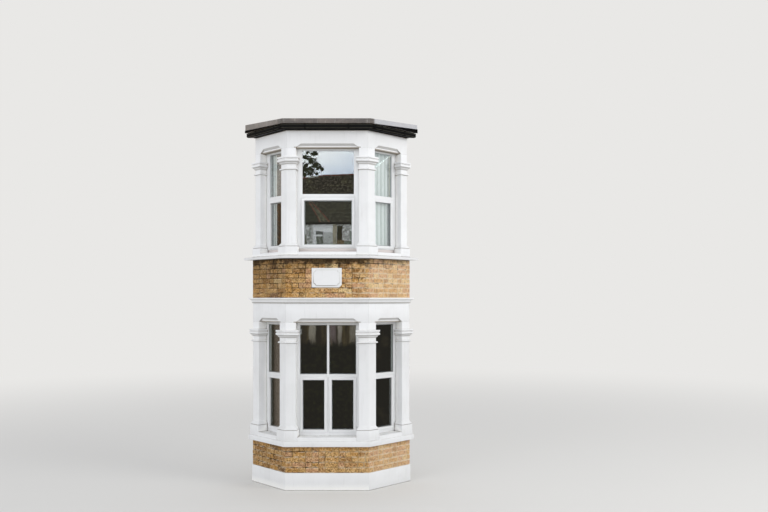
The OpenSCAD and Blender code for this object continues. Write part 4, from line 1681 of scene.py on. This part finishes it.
@dataclass
class RowAcrossTheRoad:
    """What the front panes mirror: cloud over a dark roof with a clay ridge, a pale front, and leaves."""

    put: Nodes
    eaves_z: float = 5.76
    tiles_z: float = 5.84
    clipped_z: tuple[float, float] = (5.02, 4.90)
    garden_z: float = 3.1
    # Each patch of the front: its ends, its foot and top, and its tone
    patches: tuple[tuple[float, float, float, float, str], ...] = (
        (-1.84, -1.17, 4.2, 5.80, "#F0F2F6"), (-1.55, -1.17, 4.2, 5.50, "#C4C7C8"),
        (-1.17, -1.04, 4.2, 5.76, "#A9A390"), (-1.03, -0.86, 5.22, 5.72, "#343022"),
        (-1.03, -0.79, 4.6, 5.24, "#7D6B53"), (-0.79, -0.40, 4.2, 5.20, "#7B837B"),
        (-1.74, -1.50, 5.42, 5.53, "#6A6C6B"), (-1.72, -1.51, 4.4, 5.36, "#6F746D"),
        (-1.64, -1.59, 4.4, 5.36, "#8E928B"), (-2.26, -2.06, 4.4, 5.42, "#5E5B42"),
        (-1.98, -1.90, 5.35, 5.52, "#8C918C"), (-0.62, -0.50, 5.25, 5.55, "#8C918C"),
        (0.1, 0.6, 4.4, 5.5, "#5E6366"), (1.2, 1.7, 4.4, 5.5, "#6A6E72"), (-3.6, -3.0, 4.4, 5.5, "#646A6C"),
        (-4.9, -4.4, 4.4, 5.5, "#5E6366"), (2.7, 3.2, 4.4, 5.5, "#5E6366"))
    # Each upright streak in the ground storey's panes: its ends and its tone
    streaks: tuple[tuple[float, float, str], ...] = (
        (-1.98, -1.76, "#A39B8E"), (-1.28, -1.04, "#7B6C6D"), (-0.98, -0.86, "#A69D93"),
        (-0.60, -0.36, "#8A8277"), (-0.26, -0.14, "#867D73"))
    # Each clump of leaves: its place and its radius
    clumps: tuple[tuple[float, float, float], ...] = (
        (-1.80, 8.16, 0.12), (-1.89, 7.94, 0.17), (-2.12, 8.04, 0.11), (-2.03, 8.16, 0.07),
        (-1.77, 7.74, 0.16), (-1.63, 7.68, 0.13), (-1.55, 7.61, 0.08), (-2.14, 7.69, 0.18),
        (-1.96, 7.54, 0.19), (-2.17, 7.50, 0.20), (-1.72, 7.46, 0.07))

    def __post_init__(self) -> None:
        """Lets the panes' slow wave bend the row's edges."""
        self.plain_x, _, self.plain_z = self.put.place
        self.x = self.plain_x + (self.put.grain(200, 3) - 0.5) * 0.07
        self.z = self.plain_z + (self.put.grain(230, 3) - 0.5) * 0.06

    def slant(self, slope: float) -> Value:
        """Height above a line that falls to the right by a slope."""
        return self.plain_z + self.x * slope

    def sky(self) -> Value:
        """Colour of the cloud."""
        haze = (self.slant(-0.45) - 8.0) * 0.6 + self.put.grain(1500, 3, (2.5, 1, 1))
        return self.put("mix", self.put("band", haze, 0.30, 1.10), "#C6D0E2", "#F1F3F8")

    def roof(self) -> Value:
        """Colour of the tiles, with a valley that runs down to the eaves between two lines of clay tiles.

        Returns:
            The colour.
        """
        put, z = self.put, self.plain_z
        speckle = put.grain(50, 2, (1.6, 1, 1), 0.7)
        steep, flat = self.slant(1.72), self.slant(1.07)
        valley = (steep > 3.12) * (flat < 4.48) * put("band", speckle, 0.44, 0.56, 0, 0.55)
        lines = [put("near", fall, at, wide) * put("band", z, 6.55, 6.40, 0.25, 0.85)
                 for fall, at, wide in ((steep, 3.10, 0.030), (flat, 4.485, 0.024))]
        return put.coats(
            "#231F1A",
            (put("band", speckle, 0.44, 0.66), "#6A6353"),
            (put("band", put.grain(190, 4, (1.6, 1, 1)), 0.54, 0.68, 0, 0.30), "#6F6C4A"),
            (put("band", z, 6.80, 6.50, 0, 0.40), "#56584C"),
            (put("waves", put.coords, WAVE / (130.9 * MM), 0.6) * 0.25, "#1E1B17"),
            (valley, "#8D8972"),
            ((steep < 3.09) * put("band", z, 6.6, 6.3, 0, 0.40), "#2C352D"),
            *((line * put("band", speckle, 0.40, 0.52, 0.3, 1.0), "#8A5044") for line in lines))

    def front(self) -> Value:
        """Colour of the pale front with its openings and low plants.

        Returns:
            The colour.
        """
        put, x, z = self.put, self.x, self.z
        plants = put("band", z, 5.50, 5.05) * put("band", put.grain(70, 4), 0.50, 0.58, 0, 0.7)
        clipped = put("mix", put("band", put.grain(160, 4), 0.40, 0.62), "#26281B", "#404330")
        return put.coats(
            "#DEE0E2",
            (put("band", put.grain(90, 5), 0.40, 0.62), "#93938F"),
            *((put("near", x, (x0 + x1) / 2, (x1 - x0) / 2) * put("near", z, (z0 + z1) / 2, (z1 - z0) / 2),
               tone) for x0, x1, z0, z1, tone in self.patches),
            (plants, "#4B4D38"),
            (put("band", z, 5.60, 5.80, 0, 0.55), "#5B5F55"),
            (put("band", z, *self.clipped_z), clipped))

    def garden(self) -> Value:
        """Colour of the dim upright streaks over the dark that the ground storey's panes mirror.

        Returns:
            The colour.
        """
        put = self.put
        garden = put("mix", put("band", put.grain(190, 3, (1, 1, 14), 0.6), 0.40, 0.62), "#2B231A", "#52462F")
        sway = self.x + put.grain(700, 2) * 0.22
        for x0, x1, tone in self.streaks:
            aside, half = abs(sway - ((x0 + x1) / 2 + 0.11)), (x1 - x0) / 2
            share = put("band", aside, half + 0.03, half - 0.03)
            garden = put("mix", share * put("band", self.plain_z, 1.65, 2.15, 0.25, 0.9), garden, tone)
        return garden

    def leaves(self, above: Value) -> Value:
        """Share of the leaves, which lie above the ridge alone.

        Args:
            above: one above the ridge.

        Returns:
            A value of 0 or 1.
        """
        put = self.put
        crown: Value | float = 0.0
        for at_x, at_z, reach in self.clumps:
            away = put("distance", put.coords, (at_x, -ROAD_W, at_z))
            crown = put("most", crown, put("band", away, reach * 1.6, 0.0))
        ragged = (put.grain(105, 4, rough=0.75) - 0.5) * 4.2 + crown
        return above * (ragged > 0.40) * (crown > 0.01)

    def paint(self) -> Paint:
        """Puts the row together, brightest above the ridge.

        Returns:
            The glow's colour and strength, and a cover of 1 all over.
        """
        put = self.put
        # The ridge falls a little to the right's end and more to the left's
        along = self.plain_x + 1.468
        height = self.plain_z - along * 0.0356 - put("least", along, 0.0) * 0.095
        above = height > 7.425
        leaves = self.leaves(above)
        colour = put.coats(
            self.front(),
            (self.z > self.eaves_z, "#24211D"),
            (self.plain_z > self.tiles_z, self.roof()),
            (height > 7.385, put("mix", put("near", self.plain_x, -1.83, 0.18), "#6E3F36", "#AEB3AC")),
            (above, self.sky()),
            (self.z < self.garden_z, self.garden()),
            (leaves, put("mix", put("band", put.grain(50, 3), 0.4, 0.6), "#0D0F09", "#30351A")))
        return colour, put("between", above * (1.0 - leaves), 2.1, 4.2), 1.0


@dataclass
class Studio:
    """Plain pale floor, soft light, the street that only the glass mirrors, and the camera."""

    pale: str = "#E9E8E6"
    eye: tuple[float, float, float] = (1.39, WALL_Y - 13.6, 3.25)
    lens: float = 35.67
    shift: tuple[float, float] = (-0.0326, 0.056)
    aim: tuple[float, float, float] = (0, 0, 3.0)
    # Each light: its name, place, width, power and tint
    lamps: tuple[tuple[str, tuple[float, float, float], float, float, str], ...] = (
        ("key", (14.0, -7.0, 12.0), 8.0, 940.0, "#FFFEFB"),
        ("fill", (-15.5, -18.6, 10.8), 12.0, 700.0, "#F8FAFF"))

    def build(self) -> None:
        """Sets up everything that isn't part of the bay."""
        scene = bpy.context.scene
        scene.view_settings.view_transform = "Standard"
        self.world(scene)
        self.floor()
        self.lights()
        self.dark_room()
        self.street()
        self.camera(scene)

    def world(self, scene: bpy.types.Scene) -> None:
        """Pale surroundings for the eye, and the light of an overcast sky, strongest low down, for the rest.

        Args:
            scene: the scene that is rendered.
        """
        world = bpy.data.worlds.new("studio")
        scene.world = world
        world.use_nodes = True
        put = Nodes(world.node_tree)
        rays = [put("ShaderNodeLightPath", out=f"Is {ray} Ray") for ray in ("Camera", "Transmission")]
        seen = put("most", *rays)
        up = put.axes(put("ShaderNodeTexCoord", out="Generated"))[2]
        cloud = put("band", up, -0.30, 0.12, 0.84, 1.42) * put("band", up, 0.25, 0.8, 1.0, 0.48)
        back = put("ShaderNodeBackground", {"Color": put("mix", seen, "#F4F5F8", self.pale),
                                            "Strength": put("between", seen, cloud, 1.0)})
        put("ShaderNodeOutputWorld", {"Surface": back})

    def floor(self) -> None:
        """A wide pale floor that fades into the surroundings."""
        bm = bmesh.new()
        bmesh.ops.create_circle(bm, cap_ends=True, radius=60, segments=96)
        mesh = bpy.data.meshes.new("studio_floor")
        bm.to_mesh(mesh)
        bm.free()
        mat, put = fresh("studio_floor_paint")
        seen = put("ShaderNodeLightPath", out="Is Camera Ray")
        matt = put("ShaderNodeBsdfDiffuse", {"Color": put("mix", seen, "#BFBEBA", "#DAD9D6")})
        far = put("band", put("length", put.coords), 5.0, 24.0)
        put("ShaderNodeOutputMaterial", {"Surface": put("either", far, matt, put("glow", self.pale, 1.0))})
        mesh.materials.append(mat)
        placed("studio_floor", mesh)

    def lights(self) -> None:
        """One broad soft key from the right and above, and a weak fill from the left."""
        for name, spot, size, power, tint in self.lamps:
            data = bpy.data.lights.new(name, "AREA")
            data.shape, data.size, data.energy = "DISK", size, power
            data.color = linear(tint)[:3]
            obj = placed(name, data)
            obj.location = spot
            obj.rotation_euler = (Vector(self.aim) - Vector(spot)).to_track_quat("-Z", "Y").to_euler()
            obj.visible_glossy = name == "fill"

    def card(self, name: str, foot: Sequence[Sequence[float]], top: float, mat: bpy.types.Material,
             seen_by: Sequence[str]) -> None:
        """An upright sheet of the stage that only some kinds of ray see.

        Args:
            name: its name.
            foot: the two ends of its lower edge.
            top: height of its upper edge.
            mat: its material.
            seen_by: the kinds of ray.
        """
        mesh = bpy.data.meshes.new(name)
        mesh.from_pydata([*foot, *((p[0], p[1], top) for p in reversed(foot))], [], [(0, 1, 2, 3)])
        mesh.materials.append(mat)
        obj = placed(name, mesh)
        for ray in ("camera", "diffuse", "glossy", "transmission", "volume_scatter", "shadow"):
            setattr(obj, f"visible_{ray}", ray in seen_by)

    def dark_room(self) -> None:
        """A glowing card, seen through the glass alone, that paints the unlit room behind the bay dark."""
        mat, put = fresh("unlit_room")
        x, _, z = put.place
        # Painted daylight: at both sides the ends of the room's walls are lighter
        right = put("band", x, 0.95, 1.0) * (z > 3.2)
        pale = put("most", right, put("band", x, -1.24, -1.31))
        glow = put("glow", put("mix", pale, "#2B2825", "#A5A49B"), 1.0)
        put("ShaderNodeOutputMaterial", {"Surface": glow})
        self.card("unlit_room_card", ((-4, 1.2, -0.5), (4, 1.2, -0.5)), 7.5, mat, ["transmission"])

    def mirrored(self, name: str, foot: Sequence[Sequence[float]], top: float,
                 paint: Callable[[Nodes], Paint]) -> None:
        """A card whose glow shows only in a mirror image, and which is clear to all other light.

        Args:
            name: the card's name.
            foot: the two ends of its lower edge.
            top: height of its upper edge.
            paint: builds the glow's colour and strength, and where it covers what is behind it.
        """
        mat, put = fresh(name.replace("_card", ""))
        colour, power, cover = paint(put)
        shown = (put("ShaderNodeLightPath", out="Glossy Depth") > 0.5) * cover
        both = put("either", shown, put("ShaderNodeBsdfTransparent"), put("glow", colour, power))
        put("ShaderNodeOutputMaterial", {"Surface": both})
        self.card(name, foot, top, mat, ["glossy", "transmission"])

    def street(self) -> None:
        """What the glass mirrors: a row across the road, leaves in shade, and walls beside the bay."""
        beside = WALL_Y + 2 * MM
        self.mirrored("mirrored_street_card", ((-16, -ROAD_W, -0.5), (16, -ROAD_W, -0.5)), 13.0,
                      lambda put: RowAcrossTheRoad(put).paint())
        self.mirrored("mirrored_hedge_card", ((-6, -2.6, -0.3), (6, -2.6, -0.3)), 2.8, self.dark_leaves)
        self.mirrored("mirrored_wall_left_card", ((-7, beside, -0.5), (-1.1, beside, -0.5)), 7.2,
                      self.brick_beside_the_bay)
        self.mirrored("mirrored_yard_right_card", ((4.2, -3.0, -0.5), (4.2, 0.5, -0.5)), 3.0,
                      self.shaded_yard)
        # In front of the ground side windows' panes, so that their white reveals aren't mirrored
        for side, paint in ((Side.LEFT, self.brown_folds), (Side.RIGHT, self.shaded_yard)):
            foot = [FACES[side].point(x, FRAME_OUT - 0.020, 0.98) for x in (-0.25, 0.25)]
            self.mirrored(f"mirrored_reveal_card_{side.word}", foot, 2.83, paint)
        foot = [FACES[Side.RIGHT].point(x, FRAME_OUT - 0.004, 5.45) for x in (-0.25, 0.25)]
        self.mirrored("mirrored_gable_card", foot, 5.80, self.gable_edge)

    def gable_edge(self, put: Nodes) -> Paint:
        """The bright edge of a gable across the upper right pane, and cloud over it.

        Args:
            put: the material's nodes.

        Returns:
            The glow's colour and strength, and where it covers.
        """
        x, _, z = put.place
        over = z - x * 0.989
        edge = put("band", abs(over - 4.723), 0.014, 0.005)
        cloud = put("band", over, 4.72, 4.76, 0, 0.35)
        cover = put("most", edge, cloud) * put("band", z, 5.52, 5.60)
        return put("mix", edge, "#C4D4DC", "#F6FAFC"), put("between", edge, 1.0, 3.2), cover

    def dark_leaves(self, put: Nodes) -> Paint:
        """Leaves in shade, with a ragged top.

        Args:
            put: the material's nodes.

        Returns:
            The glow's colour and strength, and where it covers.
        """
        top = put.place[2] + put.grain(140, 4, (1, 1, 2.5), 0.7) * 0.42
        leaf = put("mix", put("band", put.grain(75, 5, rough=0.7), 0.46, 0.66), "#14130D", "#38391F")
        return leaf, 1.0, put("band", top, 2.60, 2.48)

    def shaded_yard(self, put: Nodes) -> Paint:
        """Near darkness with a dim brown patch."""
        lit = put("band", put.grain(260, 3), 0.52, 0.72, 0, 0.6)
        return put("mix", lit, "#1B1813", "#5A4F3C"), 1.0, 1.0

    def brown_folds(self, put: Nodes) -> Paint:
        """Upright brown and grey stripes, dark towards the wall."""
        lit = put("mix", put("band", put.grain(60, 3, (1, 1, 40)), 0.35, 0.65), "#8F7F72", "#B9A798")
        return put("mix", put("band", put.place[0], -1.01, -0.97, 0, 1), "#4A4234", lit), 1.0, 1.0

    def brick_beside_the_bay(self, put: Nodes) -> Paint:
        """Brown brick courses with soot, paler upstairs.

        Args:
            put: the material's nodes.

        Returns:
            The glow's colour and strength, and where it covers.
        """
        x, _, z = put.place
        laid = put("courses", put("join", x, z), "#A07A55", "#70492F", "#5B4A3A", 0.010, 0.225,
                   {"Scale": 1.0, "Row Height": COURSE})
        upstairs = put("band", z, 5.05, 5.30)
        colour = put.coats(laid, (put("band", put.grain(500, 4), 0.4, 0.7, 0, 0.6), "#4A3A2C"),
                           (upstairs * 0.85, "#E2D8D0"))
        return colour, put("between", upstairs, 0.9, 1.2), 1.0

    def camera(self, scene: bpy.types.Scene) -> None:
        """The view from across the road, level with the sill of the upper windows.

        Args:
            scene: the scene that is rendered.
        """
        data = bpy.data.cameras.new("across_the_road")
        data.lens, data.sensor_width = self.lens, 36.0
        data.shift_x, data.shift_y = self.shift
        data.clip_end = 300
        obj = placed("across_the_road", data)
        obj.location = self.eye
        obj.rotation_euler = (math.pi / 2, 0, 0)
        scene.camera = obj


def main() -> None:
    """Sets up the studio, then builds the bay in the order in which it is put up."""
    logging.basicConfig(level=logging.INFO, format="%(message)s")
    Studio().build()
    for part in (BrickPanels(), Dressings(), Windows(), Rooms(), Curtains(), RoofEdge()):
        log.info("building %s", type(part).__name__)
        part.build()


if __name__ == "__main__":
    main()
